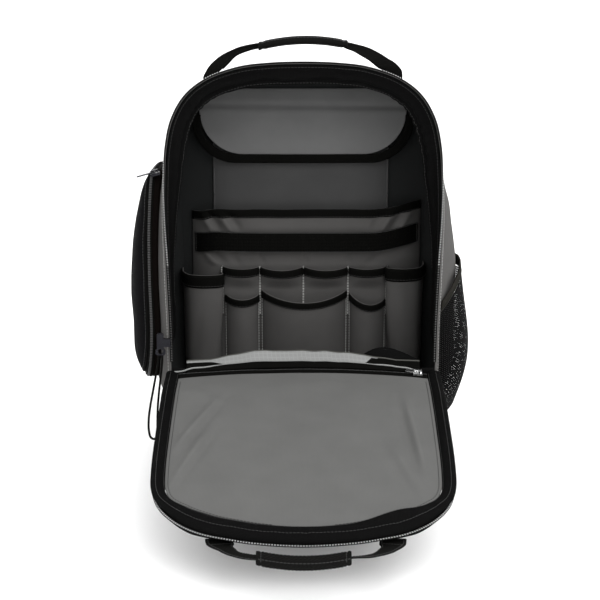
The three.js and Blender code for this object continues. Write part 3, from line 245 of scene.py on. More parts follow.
class Piece:
    """Gathers cloth, tubes and small studs, and makes one object of them."""

    def __init__(self):
        self.points, self.faces, self.metres, self.finishes = [], [], [], []
        self.count = 0
        self.cuts = []

    def add(self, points, faces, metres=None, finish=0):
        points = points.reshape(-1, 3)
        if metres is None:
            metres = points[:, [0, 2]] * MM
        self.points.append(points)
        self.metres.append(metres.reshape(-1, 2))
        for face in faces.tolist() if isinstance(faces, np.ndarray) else faces:
            self.faces.append([k + self.count for k in face])
            self.finishes.append(finish)
        self.count += len(points)

    def slab(self, face, back, metres=None):
        """A closed body between two skins, each of rings that shrink to its middle."""
        rows, around = face.shape[:2]
        count = rows * around
        skin = grid_faces(rows, around, wrap=True)
        ring = np.arange(around)
        after = (ring + 1) % around
        edge = np.stack([ring, after, after + count, ring + count], -1)
        lid = (ring + count - around).tolist()
        faces = np.concatenate([skin, skin[:, ::-1] + count, edge]).tolist()
        faces += [lid[::-1], [k + count for k in lid]]
        self.add(np.concatenate([face.reshape(-1, 3), back.reshape(-1, 3)]), faces, metres)

    def thick(self, points, normals, faces, depth, metres, finish=0, soft=0.3, inside=None, lid=()):
        """Gives a face set its thickness behind it, with edges that are eased round."""
        points, normals = points.reshape(-1, 3), normals.reshape(-1, 3)
        count = len(points)
        depth = np.broadcast_to(depth, count if np.ndim(depth) == 0 else np.shape(depth)).reshape(-1, 1)
        pairs = np.concatenate([faces[:, [k, (k + 1) % 4]] for k in range(4)])
        edge = pairs[~np.isin(pairs[:, 0] * count + pairs[:, 1], pairs[:, 1] * count + pairs[:, 0])]
        edge = edge[~np.isin(edge[:, 0], lid)]
        eased = np.zeros((count, 1))
        eased[np.unique(edge)] = soft
        outer = points - normals * depth * eased
        inner = points - normals * depth * (1 - eased)
        sides = np.stack([edge[:, 1], edge[:, 0], edge[:, 0] + count, edge[:, 1] + count], -1)
        every = np.concatenate([faces, faces[:, ::-1] + count, sides]).tolist()
        if len(lid):
            every += [lid[::-1], [k + count for k in lid]]
        flat = metres.reshape(-1, 2)
        self.add(np.concatenate([outer, inner]), every, np.concatenate([flat, flat]), finish)
        if inside is not None:
            first = len(self.finishes) - len(every) + len(faces)
            self.finishes[first : first + len(faces)] = [inside] * len(faces)

    def cloth(self, skin, us, vs, depth=CLOTH, finish=0, soft=0.3, inside=None):
        """A sheet whose outer face is the skin, over a grid of shares."""
        u, v = np.meshgrid(us, vs, indexing="ij")
        points = skin(u, v)
        metres = grid_metres(points)
        corners = points[1:, 1:] - points[:-1, :-1], points[1:, :-1] - points[:-1, 1:]
        area = 0.5 * np.linalg.norm(np.cross(*corners), axis=2).sum() * MM**2
        self.cuts.append((2 * metres[..., 0].max(), 2 * metres[..., 1].max(), area))
        thickness = depth(u, v) if callable(depth) else depth
        faces = grid_faces(len(us), len(vs))
        self.thick(points, grid_normals(points), faces, thickness, metres, finish, soft, inside)

    def tube(self, path, radius, sides=8, finish=0, closed=False, flat=1.0, up=(0, 0, 1)):
        """A round or flattened tube along a path."""
        path = np.asarray(path, float)
        run = unit(np.gradient(path, axis=0))
        if closed:
            run = unit(np.roll(path, -1, 0) - np.roll(path, 1, 0))
        across = unit(np.cross(np.broadcast_to(np.asarray(up, float), path.shape), run))
        rise = np.cross(run, across)
        turn = np.linspace(0, 2 * np.pi, sides, endpoint=False)
        radius = np.broadcast_to(radius, len(path))[:, None, None]
        turn = turn[None, :, None]
        ring = across[:, None] * np.cos(turn) + flat * rise[:, None] * np.sin(turn)
        self.loft(path[:, None] + radius * ring, finish, closed)

    def loft(self, rings, finish=0, closed=False):
        rows, sides = rings.shape[:2]
        if closed:
            rings = np.concatenate([rings, rings[:1]])
        metres = np.stack(np.broadcast_arrays(
            np.linalg.norm(rings[:, :1] - np.roll(rings, -1, 1)[:, :1], axis=2) * np.arange(sides)[None],
            reach(rings.mean(1))[:, None]), -1) * MM
        if closed:
            faces = grid_faces(rows + 1, sides, wrap=True) % (rows * sides)
            self.add(rings[:-1], faces[:, ::-1], metres[:-1], finish)
            return
        caps = [list(range(sides))[::-1], [(rows - 1) * sides + k for k in range(sides)]]
        self.add(rings, grid_faces(rows, sides, wrap=True)[:, ::-1].tolist() + caps, metres, finish)

    def studs(self, path, normals, pitch, size, finish=1, lift=0.0):
        """Small raised blocks at even steps along a path, such as stitches or zip teeth."""
        length = reach(path)
        if length[-1] < pitch:
            return
        at = np.arange(pitch / 2, length[-1], pitch)
        pick = lambda values, x: np.stack([np.interp(x, length, c) for c in values.T], -1)
        centre = pick(path, at)
        run = unit(pick(path, at + 0.4) - pick(path, at - 0.4))
        up = unit(pick(normals, at))
        side = unit(np.cross(up, run))
        long, wide, high = size
        corners = np.array([(-1, -1), (1, -1), (1, 1), (-1, 1)]) / 2
        layers = []
        for level, share in ((-0.35 * high, 1.0), (0.55 * high, 1.0), (high, 0.6)):
            flat = corners * share * np.array([long, wide])
            spread = run[:, None] * flat[None, :, :1] + side[:, None] * flat[None, :, 1:]
            layers.append(centre[:, None] + spread + up[:, None] * (level + lift))
        points = np.stack(layers, 1).reshape(len(at), 12, 3)
        block = [(3, 2, 1, 0), (8, 9, 10, 11)]
        for k, i in itertools.product((0, 4), range(4)):
            after = (i + 1) % 4
            block.append((k + i, k + after, k + 4 + after, k + 4 + i))
        faces = (np.array(block)[None] + 12 * np.arange(len(at))[:, None, None]).reshape(-1, 4)
        self.add(points, faces, None, finish)

    def seam(self, skin, u, v, size=(3.0, 0.7, 0.45), pitch=4.2, finish=1, lift=0.0):
        """A line of stitches on a skin."""
        u, v = np.broadcast_arrays(np.asarray(u, float), np.asarray(v, float))
        self.studs(skin(u, v), facing(skin, u, v), pitch, size, finish, lift)

    def make(self, name, materials, nodes=(), body="root"):
        mesh = bpy.data.meshes.new(name)
        mesh.from_pydata((np.concatenate(self.points) * MM).tolist(), [], self.faces)
        mesh.polygons.foreach_set("material_index", self.finishes)
        mesh.polygons.foreach_set("use_smooth", [True] * len(self.faces))
        layer = mesh.uv_layers.new(name="metres")
        corner = np.empty(len(mesh.loops), int)
        mesh.loops.foreach_get("vertex_index", corner)
        layer.data.foreach_set("uv", np.concatenate(self.metres)[corner].ravel())
        mesh.update()
        obj = bpy.data.objects.new(name, mesh)
        bpy.context.scene.collection.objects.link(obj)
        for key in materials:
            mesh.materials.append(finish(key))
        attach(obj, body)
        if nodes:
            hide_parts(*nodes)
        return obj

    def sew(self, name, materials, nodes):
        obj = self.make(name, materials, nodes)


# Stitches: long, wide and high in millimetres, and their spacing
POCKET_STITCH = {"size": (2.6, 1.2, 0.8), "pitch": 3.8}
TACK = {"size": (2.2, 1.6, 0.9), "pitch": 2.8}
BAR_STITCH = {"size": (2.2, 0.9, 0.6), "pitch": 2.8}
WEB_STITCH = {"size": (2.8, 0.8, 0.5), "pitch": 3.8}
BOX_STITCH = {"size": (2.4, 0.8, 0.5), "pitch": 3.2}


# Materials


def put(tree, kind, settings=None, inputs=None):
    """Adds a node with its settings, constant inputs and links."""
    node = tree.nodes.new(kind)
    for name, value in (settings or {}).items():
        setattr(node, name, value)
    for key, value in (inputs or {}).items():
        if isinstance(value, bpy.types.NodeSocket):
            tree.links.new(value, node.inputs[key])
        else:
            node.inputs[key].default_value = value
    return node


def maths(tree, operation, *values):
    return put(tree, "ShaderNodeMath", {"operation": operation}, dict(enumerate(values))).outputs[0]


Weave = namedtuple("Weave", "name colour thread pattern mottle rough sheen bump worn")
# The thread is its spacing in millimetres. Real threads here are 0.3 to 0.6 mm apart, too fine for
# the picture, so most are drawn two or three times as coarse.
WEAVES = {
    # Coated polyester: an even, slightly grainy matt face with a faint bloom at grazing angles
    "wall": Weave("Coated 600D polyester, plain woven", "wall", 1.5, "plain", 0.06, 0.86, 0.05, 0.35, 0.3),
    "pocket": Weave("Coated 420D polyester, plain woven", "pocket", 1.4, "plain", 0.06, 0.84, 0.05, 0.3, 0.25),
    "panel": Weave("Coated 420D polyester, flap panel", "panel", 1.4, "plain", 0.05, 0.86, 0.06, 0.3, 0.25),
    # Ballistic polyester: heavier threads whose crowns catch a little light
    "trim": Weave("Ballistic polyester, basket woven", "trim", 1.8, "plain", 0.06, 0.78, 0.02, 0.45, 0.5),
    # Ripstop lining: smooth calendered cloth with a raised grid, so it glints in lines
    "ripstop": Weave("Calendered ripstop nylon", "silver", 1.2, "ripstop", 0.03, 0.5, 0.02, 0.4, 0.15),
    # The walls' lining: a dark colour that paints the shade inside the walls, where little light falls
    "lining": Weave("Wall lining in painted shade", "lining", 1.4, "plain", 0.05, 0.92, 0.02, 0.3, 0.2),
    # The cover colour is the pocket cloth made lighter: painted light where the cover slopes up to the lamps
    "cover": Weave("Coated 420D polyester, document cover", "cover", 1.4, "plain", 0.06, 0.84, 0.05, 0.3, 0.25),
    # The sleeve colour is the pocket cloth made darker: painted shade under the hanging cover
    "sleeve": Weave("Coated 420D polyester, document sleeve", "sleeve", 1.4, "plain", 0.06, 0.84, 0.04, 0.3, 0.25),
    # The shade colour paints the silver cloth's far side, past the crest, in shade
    "shade": Weave("Fold cloth in painted shade", "shade", 1.4, "plain", 0.06, 0.9, 0.04, 0.3, 0.2),
    # Folded binding and zip tape: fine ribs across a flat black band
    "tape": Weave("Grosgrain polyester tape", "tape", 1.3, "rib", 0.06, 0.82, 0.02, 0.4, 0.45),
    "elastic": Weave("Ribbed woven elastic", "tape", 2.2, "rib", 0.06, 0.8, 0.03, 0.7, 0.4),
    # Webbing: thick ribs with a soft polyester gloss
    "webbing": Weave("Polypropylene webbing, woven", "webbing", 2.0, "herring", 0.06, 0.66, 0.04, 0.7, 0.6),
    "net": Weave("Knitted polyester net", "net", 0.9, "rib", 0.05, 0.75, 0.03, 0.3, 0.3),
    "gusset": Weave("Brown-black ballistic polyester", "gusset", 1.8, "plain", 0.06, 0.8, 0.02, 0.4, 0.4),
    "outer": Weave("Charcoal ballistic polyester", "outer", 1.8, "plain", 0.06, 0.8, 0.02, 0.45, 0.4),
    "hem": Weave("Knitted polyester hem band", "hem", 1.6, "rib", 0.06, 0.85, 0.04, 0.4, 0.3),
    # Air mesh: round holes in a spongy knit
    "airmesh": Weave("Knitted air mesh on foam", "trim", 3.2, "mesh", 0.06, 0.88, 0.06, 0.9, 0.3),
    "cord": Weave("Braided polyester cord", "tape", 1.1, "herring", 0.06, 0.7, 0.03, 0.6, 0.4),
}

Solid = namedtuple("Solid", "name colour metallic rough grain bump")
SOLIDS = {
    # Sewing thread: bonded polyester with a faint gloss, a shade lighter than the cloth
    "thread": Solid("Bonded polyester thread, grey", "thread", 0, 0.6, 0.4, 0.1),
    "black_thread": Solid("Bonded polyester thread, black", "dark_thread", 0, 0.6, 0.4, 0.1),
    # Zip teeth: moulded acetal, smoother and lighter than the tape; part of their light grey is painted highlight
    # of teeth lit from above
    "teeth": Solid("Moulded acetal zip teeth", "teeth", 0, 0.38, 0.5, 0.1),
    "small_teeth": Solid("Nylon coil zip, woven in", "coil", 0, 0.45, 0.5, 0.1),
    # Zinc die castings: bright nickel on the flap, black nickel elsewhere
    "nickel": Solid("Zinc casting, bright nickel plated", "nickel", 1, 0.24, 0.8, 0.05),
    "black_nickel": Solid("Zinc casting, black nickel plated", "black_nickel", 1, 0.3, 0.8, 0.05),
    # Buckles: acetal with a fine spark-eroded texture
    "acetal": Solid("Moulded acetal, fine textured", "acetal", 0, 0.5, 0.35, 0.2),
}


def colour_of(name):
    return [*getattr(bpy.context.scene.backpack_colours, name), 1]


def mixed(tree, share, a, b):
    keys = {0: share, 6: a, 7: b}
    return put(tree, "ShaderNodeMix", {"data_type": "RGBA"}, keys).outputs[2]


def scaled(colour, by):
    return [min(1.0, c * by) for c in colour[:3]] + [1]


# The wave texture's scale at which one band comes to one unit, and the ripstop's grid in millimetres
WAVE, RIPSTOP_CELL = 0.31416, 5.5


def woven_height(tree, row):
    """The relief of a weave at its real spacing, over the sheet's own metres."""
    place = put(tree, "ShaderNodeUVMap", {"uv_map": "metres"}).outputs["UV"]
    repeat = WAVE / (row.thread * MM)

    def bands(direction, scale, bend=0.4):
        keys = {"Vector": place, "Scale": scale, "Distortion": bend, "Detail": 1.0, "Detail Scale": 0.6}
        return put(tree, "ShaderNodeTexWave", {"bands_direction": direction}, keys).outputs["Fac"]

    if row.pattern == "mesh":  # on padded pieces, which lose their metres when they are remeshed
        spot = put(tree, "ShaderNodeTexCoord").outputs["Object"]
        keys = {"Vector": spot, "Scale": 1 / (row.thread * MM), "Randomness": 0.25}
        cells = put(tree, "ShaderNodeTexVoronoi", {"feature": "F1"}, keys).outputs["Distance"]
        return maths(tree, "SMOOTH_MIN", cells, 0.35, 0.2)
    if row.pattern == "herring":
        return maths(tree, "MULTIPLY", bands("X", repeat), bands("DIAGONAL", repeat * 0.8))
    if row.pattern == "rib":
        return bands("X", repeat)
    woven = maths(tree, "MAXIMUM", bands("X", repeat), bands("Y", repeat))
    if row.pattern == "ripstop":
        wide = WAVE / (RIPSTOP_CELL * MM)
        grid = maths(tree, "MAXIMUM", bands("X", wide, 0), bands("Y", wide, 0))
        return maths(tree, "MULTIPLY_ADD", woven, 0.3, maths(tree, "POWER", grid, 14.0))
    return woven


def noise_at(tree, place, size, detail=2.0):
    keys = {"Vector": place, "Scale": 1 / (size * MM), "Detail": detail}
    return put(tree, "ShaderNodeTexNoise", None, keys).outputs["Fac"]


def ranged(tree, value, low, high, to_low=0.0, to_high=1.0):
    keys = {"Value": value, "From Min": low, "From Max": high, "To Min": to_low, "To Max": to_high}
    return put(tree, "ShaderNodeMapRange", None, keys).outputs["Result"]


def bumped(tree, strength, depth, height):
    keys = {"Strength": strength, "Distance": depth * MM, "Height": height}
    return put(tree, "ShaderNodeBump", None, keys).outputs[0]


def finish(key):
    row = WEAVES.get(key) or SOLIDS[key]
    made = bpy.data.materials.get(row.name)
    if made:
        return made
    made = bpy.data.materials.new(row.name)
    made.use_nodes = True
    tree = made.node_tree
    tree.nodes.clear()
    colour = colour_of(row.colour)
    spot = put(tree, "ShaderNodeTexCoord").outputs["Object"]
    edges = put(tree, "ShaderNodeNewGeometry").outputs["Pointiness"]
    rubbed = ranged(tree, edges, 0.52, 0.6)
    if isinstance(row, Weave):
        height = woven_height(tree, row)
        mottle = noise_at(tree, spot, 45, 4.0)
        tone = ranged(tree, mottle, 0.3, 0.7)
        base = mixed(tree, tone, scaled(colour, 1 - row.mottle), scaled(colour, 1 + row.mottle))
        # Painted shade: the weave's low points, between the threads, are darkened
        deep = ranged(tree, height, 0.0, 1.0, 0.35, 0.0)
        base = mixed(tree, deep, base, scaled(colour, 0.55))
        wear = maths(tree, "MULTIPLY", rubbed, row.worn)
        base = mixed(tree, wear, base, scaled(colour, 2.0))
        rough = ranged(tree, mottle, 0.3, 0.7, row.rough - 0.05, row.rough + 0.05)
        shader = put(tree, "ShaderNodeBsdfPrincipled", None, {
            "Base Color": base, "Roughness": rough,
            "Normal": bumped(tree, row.bump, 0.25 * row.thread, height),
            "IOR": 1.25, "Specular IOR Level": 0.08,
            "Sheen Weight": row.sheen, "Sheen Roughness": 0.5, "Sheen Tint": scaled(colour, 2.5)})
    else:
        grains = noise_at(tree, spot, row.grain)
        tone = ranged(tree, noise_at(tree, spot, 6), 0.35, 0.65)
        base = mixed(tree, tone, scaled(colour, 0.85), scaled(colour, 1.1))
        base = mixed(tree, rubbed, base, scaled(colour, 1.4))
        rough = ranged(tree, grains, 0.3, 0.7, row.rough - 0.06, row.rough + 0.08)
        shader = put(tree, "ShaderNodeBsdfPrincipled", None, {
            "Base Color": base, "Roughness": rough, "Normal": bumped(tree, row.bump, 0.1, grains),
            "Metallic": row.metallic})
    put(tree, "ShaderNodeOutputMaterial", None, {"Surface": shader.outputs[0]})
    return made


def dress(node, key, bevel=None):
    """Gives a node of the frame its finish, and rounds its edges a little."""
    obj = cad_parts[node]
    obj.data.materials.clear()
    obj.data.materials.append(finish(key))
    if bevel:
        rounding = obj.modifiers.new("rounding", "BEVEL")
        rounding.width = bevel * MM
        rounding.segments = 2
        rounding.limit_method = "ANGLE"
    return obj


# The shell's shape

RIM_ROWS = [(0, 1), (0.25, 0.997), (0.46, 0.987), (0.69, 0.957), (0.845, 0.913), (0.945, 0.85), (0.99, 0.775),
            (1, 0.7), (0.995, 0.585), (0.973, 0.454), (0.955, 0.3), (0.95, 0.2), (0.945, 0.1), (0.92, 0.04),
            (0.87, 0.01), (0.8, 0)]


def mirrored(rows, wide, long):
    right = np.array(rows, float) * (wide, long)
    left = right[:0:-1] * (-1, 1)
    return smooth_line(np.vstack([left, right]))


RIM = mirrored(RIM_ROWS, HALF_WIDTH, HEIGHT)
RIM_SHARE = reach(RIM) / reach(RIM)[-1]
RIM_LENGTH = reach(RIM)[-1]


def rim_y(z):
    return -DEPTH / 2 + LEAN * z / HEIGHT


def swell(up, s):
    rise = (1 - ease(up, 0.38, 0.85)) * lerp(0.45, 1, ease(up, 0, 0.2))
    return SWELL * rise * np.sin(np.pi * np.clip(s, 0, 1))


def shell(u, s):
    """The body's outer face: u round the outline from left foot to right foot, s from rim to rear."""
    p = along(RIM, np.clip(u, 0, 1))
    across, up = p[..., 0] / HALF_WIDTH, p[..., 1] / HEIGHT
    side = np.sign(across)
    squared = side * np.abs(across) ** lerp(1, REAR_SQUARENESS, np.clip(s, 0, 1))
    x = squared * lerp(HALF_WIDTH, REAR_HALF_WIDTH, s) + side * swell(up, s)
    foot = BASE_THICK + GAP
    return vec(x, lerp(rim_y(p[..., 1]), REAR_Y, s), foot + up * (lerp(HEIGHT, REAR_HEIGHT, s) - foot))


def station(up, side):
    """Where the outline has a share of the height, on one side."""
    right = RIM_SHARE >= 0.5
    u = np.interp(-np.asarray(up, float), -RIM[right, 1] / HEIGHT, RIM_SHARE[right])
    return u if side > 0 else 1 - u


def station_at_height(z, s, side):
    foot = BASE_THICK + GAP
    return station((z - foot) / (lerp(HEIGHT, REAR_HEIGHT, s) - foot), side)


def inner_half(z, s):
    return shell(station_at_height(z, s, 1), s)[..., 0] - WALL - GAP


SHOULDER_UP = 0.86
LEFT_HINGE, RIGHT_HINGE = station(HINGE_HEIGHT / HEIGHT, -1), station(HINGE_HEIGHT / HEIGHT, 1)

# Hollows and ridges of the side walls: share round the outline and share of the depth
WALL_FOLDS = [
    Fold(0.1, 0.15, 0.12, 0.85, 0.018, -2.2), Fold(0.2, 0.1, 0.17, 0.8, 0.02, 1.6),
    Fold(0.83, 0.1, 0.86, 0.9, 0.016, -2.0), Fold(0.78, 0.9, 0.74, 0.3, 0.014, 1.4),
    Fold(0.9, 0.1, 0.93, 0.8, 0.015, 1.6), Fold(0.36, 0.2, 0.42, 0.9, 0.012, -1.2),
    Fold(0.6, 0.9, 0.64, 0.2, 0.012, -1.2),
]


def worn_shell(u, s):
    """The body's face with its wrinkles, which fade out at the zip and at the rear seam."""
    p = shell(u, s)
    fade = ease(s, 0.04, 0.2) * (1 - ease(s, 0.9, 1))
    return over(shell, u, s, fade * (ruffle(p, 3, 0.9, 0.25) + 0.8 * folds(WALL_FOLDS, u, s)))


# The front flap's shape

FLAP_RUN = np.sqrt(FLAP_LENGTH**2 - (HINGE_HEIGHT - FLAP_END_HEIGHT) ** 2)
FLAP_ALONG = np.array([0, -FLAP_RUN, FLAP_END_HEIGHT - HINGE_HEIGHT]) / FLAP_LENGTH
FLAP_UP = np.array([0, FLAP_ALONG[2], -FLAP_ALONG[1]])
FLAP_ROWS = [(0, 1), (0.31, 0.987), (0.48, 0.968), (0.645, 0.943), (0.775, 0.905), (0.875, 0.856), (0.945, 0.8),
             (0.985, 0.73), (1, 0.62), (1, 0.4), (0.99, 0.12), (0.985, 0.01)]
FLAP = mirrored(FLAP_ROWS, HALF_WIDTH, FLAP_LENGTH)
PANEL_LEVEL = -1
OUTER_INSET = 15


def flap_droop(x, reach_out):
    return HINGE_DROOP * (x / HALF_WIDTH) ** 2 * (1 - ease(reach_out, 0, 0.2 * FLAP_LENGTH))


def on_flap(x, reach_out, level):
    """A point across the flap, out from its fold and off its plane."""
    x, reach_out, level = np.broadcast_arrays(np.asarray(x, float), reach_out, level)
    hinge = np.array([0, rim_y(HINGE_HEIGHT), HINGE_HEIGHT])
    p = hinge + reach_out[..., None] * FLAP_ALONG + level[..., None] * FLAP_UP
    return vec(x, p[..., 1], p[..., 2] - flap_droop(x, reach_out))


def flap_floor(x, reach_out):
    height = HINGE_HEIGHT + FLAP_ALONG[2] * reach_out - flap_droop(x, reach_out)
    return np.maximum(-FLAP_DEPTH, (FLAP_REST - height) / FLAP_UP[2])


def flap_run(u):
    return unit(along(FLAP, np.clip(u + STEP, 0, 1)) - along(FLAP, np.clip(u - STEP, 0, 1)))


def flap_inset(u, inset):
    p, t = along(FLAP, np.clip(u, 0, 1)), flap_run(u)
    return p[..., 0] + t[..., 1] * inset, p[..., 1] - t[..., 0] * inset


def border_width(u):
    return lerp(BORDER_SIDE, BORDER_END, ease(np.abs(flap_run(u)[..., 0]), 0.1, 0.95))


FLAP_FOLDS = [
    Fold(-104, 88, -152, 196, 7, 4.6), Fold(-96, 84, -146, 200, 6, -3.0), Fold(-117, 171, -156, 283, 7, 4.2),
    Fold(-108, 168, -150, 280, 6, -2.6), Fold(127, 85, 142, 240, 6, 4.4), Fold(119, 90, 133, 236, 6, -3.4),
    Fold(106, 194, 138, 302, 8, 3.4), Fold(97, 200, 130, 300, 6, -2.2), Fold(-60, 60, 70, 40, 24, 1.8),
    Fold(-20, 300, 60, 210, 30, 1.6), Fold(30, 330, 95, 345, 9, 1.8), Fold(-140, 60, -100, 100, 9, 2.0),
]


def panel_level(x, reach_out):
    sides = np.maximum(0, 1 - np.abs(x / (HALF_WIDTH - BORDER_SIDE)) ** 4)
    ends = np.sin(np.pi * np.clip(reach_out / (FLAP_LENGTH - BORDER_END), 0, 1)) ** 0.6
    worn = folds(FLAP_FOLDS, x, reach_out) * np.maximum(0, 1 - np.abs(x / (HALF_WIDTH - BORDER_SIDE)) ** 24)
    return PANEL_LEVEL + sides * ends * (5 + 0.9 * ruffle(vec(x, reach_out, 0), 21)) + worn * ends


BORDER_ROWS = [(1, 0, PANEL_LEVEL, 0), (0.85, 0, 1.6, 0), (0.55, 0, 3.5, 0), (0.2, 4, 3.2, 0), (0, 6.5, 0.6, 0),
               (0, 5, -4, 0), (0, 7, 3, 1), (0, 15, 0, 1)]
BORDER_LINE = smooth_line(BORDER_ROWS, 8)


def flap_border(u, v):
    row = by_row(BORDER_LINE, v)
    sides = 1 - ease(np.abs(flap_run(1 - u)[..., 0]), 0.25, 0.8)
    bulge = 8 * sides * hump(np.asarray(v) - 0.5, 0.16)
    x, out = flap_inset(1 - u, row[..., 0] * border_width(1 - u) + row[..., 1] - bulge)
    wide = 7 * hump(x - 108, 34) * ease(out, 300, 340) * (1 - ease(v, 0.05, 0.4))
    out = out - wide
    puckers = 0.7 * drift(vec(x * 1.6, out * 1.6, 0), 11, 2) + 0.9 * drift(vec(x, out, 0), 30, 8)
    puckers = 0.55 * wide + puckers * ease(v, 0, 0.2) * (1 - ease(v, 0.55, 0.7))
    return on_flap(x, out, row[..., 2] + row[..., 3] * flap_floor(x, out) + puckers)


def across_flap(inset_at, level_at):
    """Rows that run from one side's edge to the other's, from the far end to the fold."""
    def skin(u, v):
        left = flap_inset(0.5 - v, inset_at(0.5 - v))
        right = flap_inset(0.5 + v, inset_at(0.5 - v))
        x, out = lerp(left[0], right[0], u), lerp(left[1], right[1], u)
        return on_flap(x, out, level_at(x, out))
    return skin


def flap_station(out, inset):
    """The station on the left side at a distance from the fold."""
    shares = np.linspace(0, 0.45, 2000)
    return np.interp(out, flap_inset(shares, inset)[1], shares)


CREST_ROWS = np.array([(-1, 1.5), (-0.8, 3), (-0.6, 9), (-0.42, 14), (-0.2, 15), (0, 16), (0.35, 13), (0.58, 8),
                       (0.8, 2.5), (1, 1.5)])
CREST_HALF = 150
LIP_BACK = rim_y(HINGE_HEIGHT) + WALL_START * (REAR_Y - rim_y(HINGE_HEIGHT)) - GAP


def crest_rise(x):
    steady = np.interp(x / CREST_HALF, CREST_ROWS[:, 0], CREST_ROWS[:, 1])
    return steady + 1.4 * drift(vec(x, 0, 0), 16, 4) * ease(steady, 2, 9)


# The organiser on the rear wall


def edge_shape(share, power):
    return 1 - np.abs(2 * share - 1) ** power


def cover_half(z):
    q = np.clip((COVER_BOTTOM + COVER_CORNER - z) / COVER_CORNER, 0, 1)
    upper = COVER_HALF - 38 * ease(z, COVER_TOP - 30, COVER_TOP)
    return upper - COVER_CORNER * (1 - np.sqrt(np.maximum(0, 1 - q * q)))


COVER_FOLDS = [Fold(-130, 392, -100, 350, 14, -1.4), Fold(60, 345, 110, 395, 16, 1.0),
               Fold(-40, 350, 20, 390, 26, 0.8)]


def cover_depth(x, z):
    down = np.clip((COVER_TOP - z) / (COVER_TOP - COVER_BOTTOM), 0, 1)
    crease = -2.0 * hump(z - 404 + 0.012 * x, 4.5) + 1.2 * hump(z - 396, 6)
    worn = 0.6 * ruffle(vec(x, 0, z), 31) + folds(COVER_FOLDS, x, z)
    belly = np.sin(0.5 * np.pi * down**0.8) * (1 - 0.25 * (x / COVER_HALF) ** 2)
    return COVER_ROOM * belly + (crease + worn) * ease(down, 0, 0.3)


WIDE_MIDDLE = (WIDE_LEFT + WIDE_RIGHT) / 2
# Folds of the wide pocket's face: gathers over the elastic, and soft dents between the pockets
WIDE_FOLDS = [
    Fold(-138, 260, -122, 236, 4, 4.2), Fold(-127, 262, -110, 238, 4, -4.0),
    Fold(-112, 260, -94, 236, 4.5, 4.2),
    Fold(-99, 260, -84, 238, 5, -3.0), Fold(104, 238, 120, 262, 4.5, 4.0), Fold(116, 236, 132, 262, 4, -4.0),
    Fold(130, 238, 146, 264, 4, 4.0), Fold(92, 240, 104, 258, 5, -2.4), Fold(-136, 210, -112, 186, 5, 4.0),
    Fold(-128, 214, -104, 192, 4.5, -3.6), Fold(-98, 208, -84, 186, 5, -2.2),
    Fold(88, 190, 104, 212, 5, -2.4),
    Fold(-60, 210, -54, 192, 4, -1.8), Fold(0, 212, 4, 192, 4, -1.6), Fold(60, 210, 62, 192, 4, -1.6),
]


def wide_face(x, z):
    x, z = np.broadcast_arrays(np.asarray(x, float), np.asarray(z, float))
    share = np.clip((x - WIDE_LEFT) / (WIDE_RIGHT - WIDE_LEFT), 0, 1)
    stand = WIDE_ROOM * edge_shape(share, 8) * lerp(0.75, 1, np.clip(z / WIDE_TOP, 0, 1))
    far = np.abs(x - WIDE_MIDDLE)
    pleats = ease(z, BAND_MIDDLE + BAND_HEIGHT / 2, WIDE_TOP) * 2.4 * np.sin((x - WIDE_MIDDLE) / 11)
    pleats = pleats * ease(far, 50, 90) * (1 - ease(far, 120, 150))
    inside = edge_shape(share, 10)
    worn = (folds(WIDE_FOLDS, x, z) + 0.5 * ruffle(vec(x, 0, z), 41)) * inside * ease(z, 186, 196)
    return REAR_Y - GAP - CLOTH - stand + pleats * 0.6 - worn


def top_tilt(x):
    return 8 * ease(x, 90, WIDE_RIGHT) - 6 * ease(-x, 110, -WIDE_LEFT) + 4


Pouch = namedtuple("Pouch", "name left right top room sag")
UPPER_POUCHES = [Pouch("upper_pocket_1", -108, -58.5, UPPER_TOP, 11, 1.5),
                 Pouch("upper_pocket_2", -57.5, 0, UPPER_TOP, 14, 2.5),
                 Pouch("upper_pocket_3", 1, 60, UPPER_TOP, 14, 2.5),
                 Pouch("upper_pocket_4", 61, 112, UPPER_TOP, 12, 1.5)]
LOWER_POUCHES = [Pouch("lower_pocket_1", -104, -60, 150, 18, 3), Pouch("lower_pocket_2", -55, 58, 156, 33, 9),
                 Pouch("lower_pocket_3", 63, 110, 152, 20, 7)]


def pouch_top(row, u):
    tilt = 8 * u if row.name == "lower_pocket_3" else 0
    return row.top - row.sag * np.maximum(0, 1 - (2 * u - 1) ** 2) - tilt


def pouch_skin(row, foot, layers, fill):
    seed = int(abs(row.left))

    def skin(u, v):
        x, z = lerp(row.left, row.right, u), lerp(foot, pouch_top(row, u), v)
        belly = np.maximum(0, 1 - (2 * u - 1) ** 2) ** 0.75
        worn = belly * (0.8 * ruffle(vec(x, 0, z * 0.6), seed, 1.0, 0.3))
        return vec(x, wide_face(x, z) - layers * (GAP + CLOTH) - row.room * belly * fill(v, z) + worn, z)
    return skin


CORNER_ROOM = 50
CORNER_ROWS = [(0.97, 0.45), (0.8, 0.86), (0.45, 1), (0.1, 0.95), (-0.06, 0.8)]
SIDES = {"left": (-1, -110.5, 0), "right": (1, 114.5, 9)}


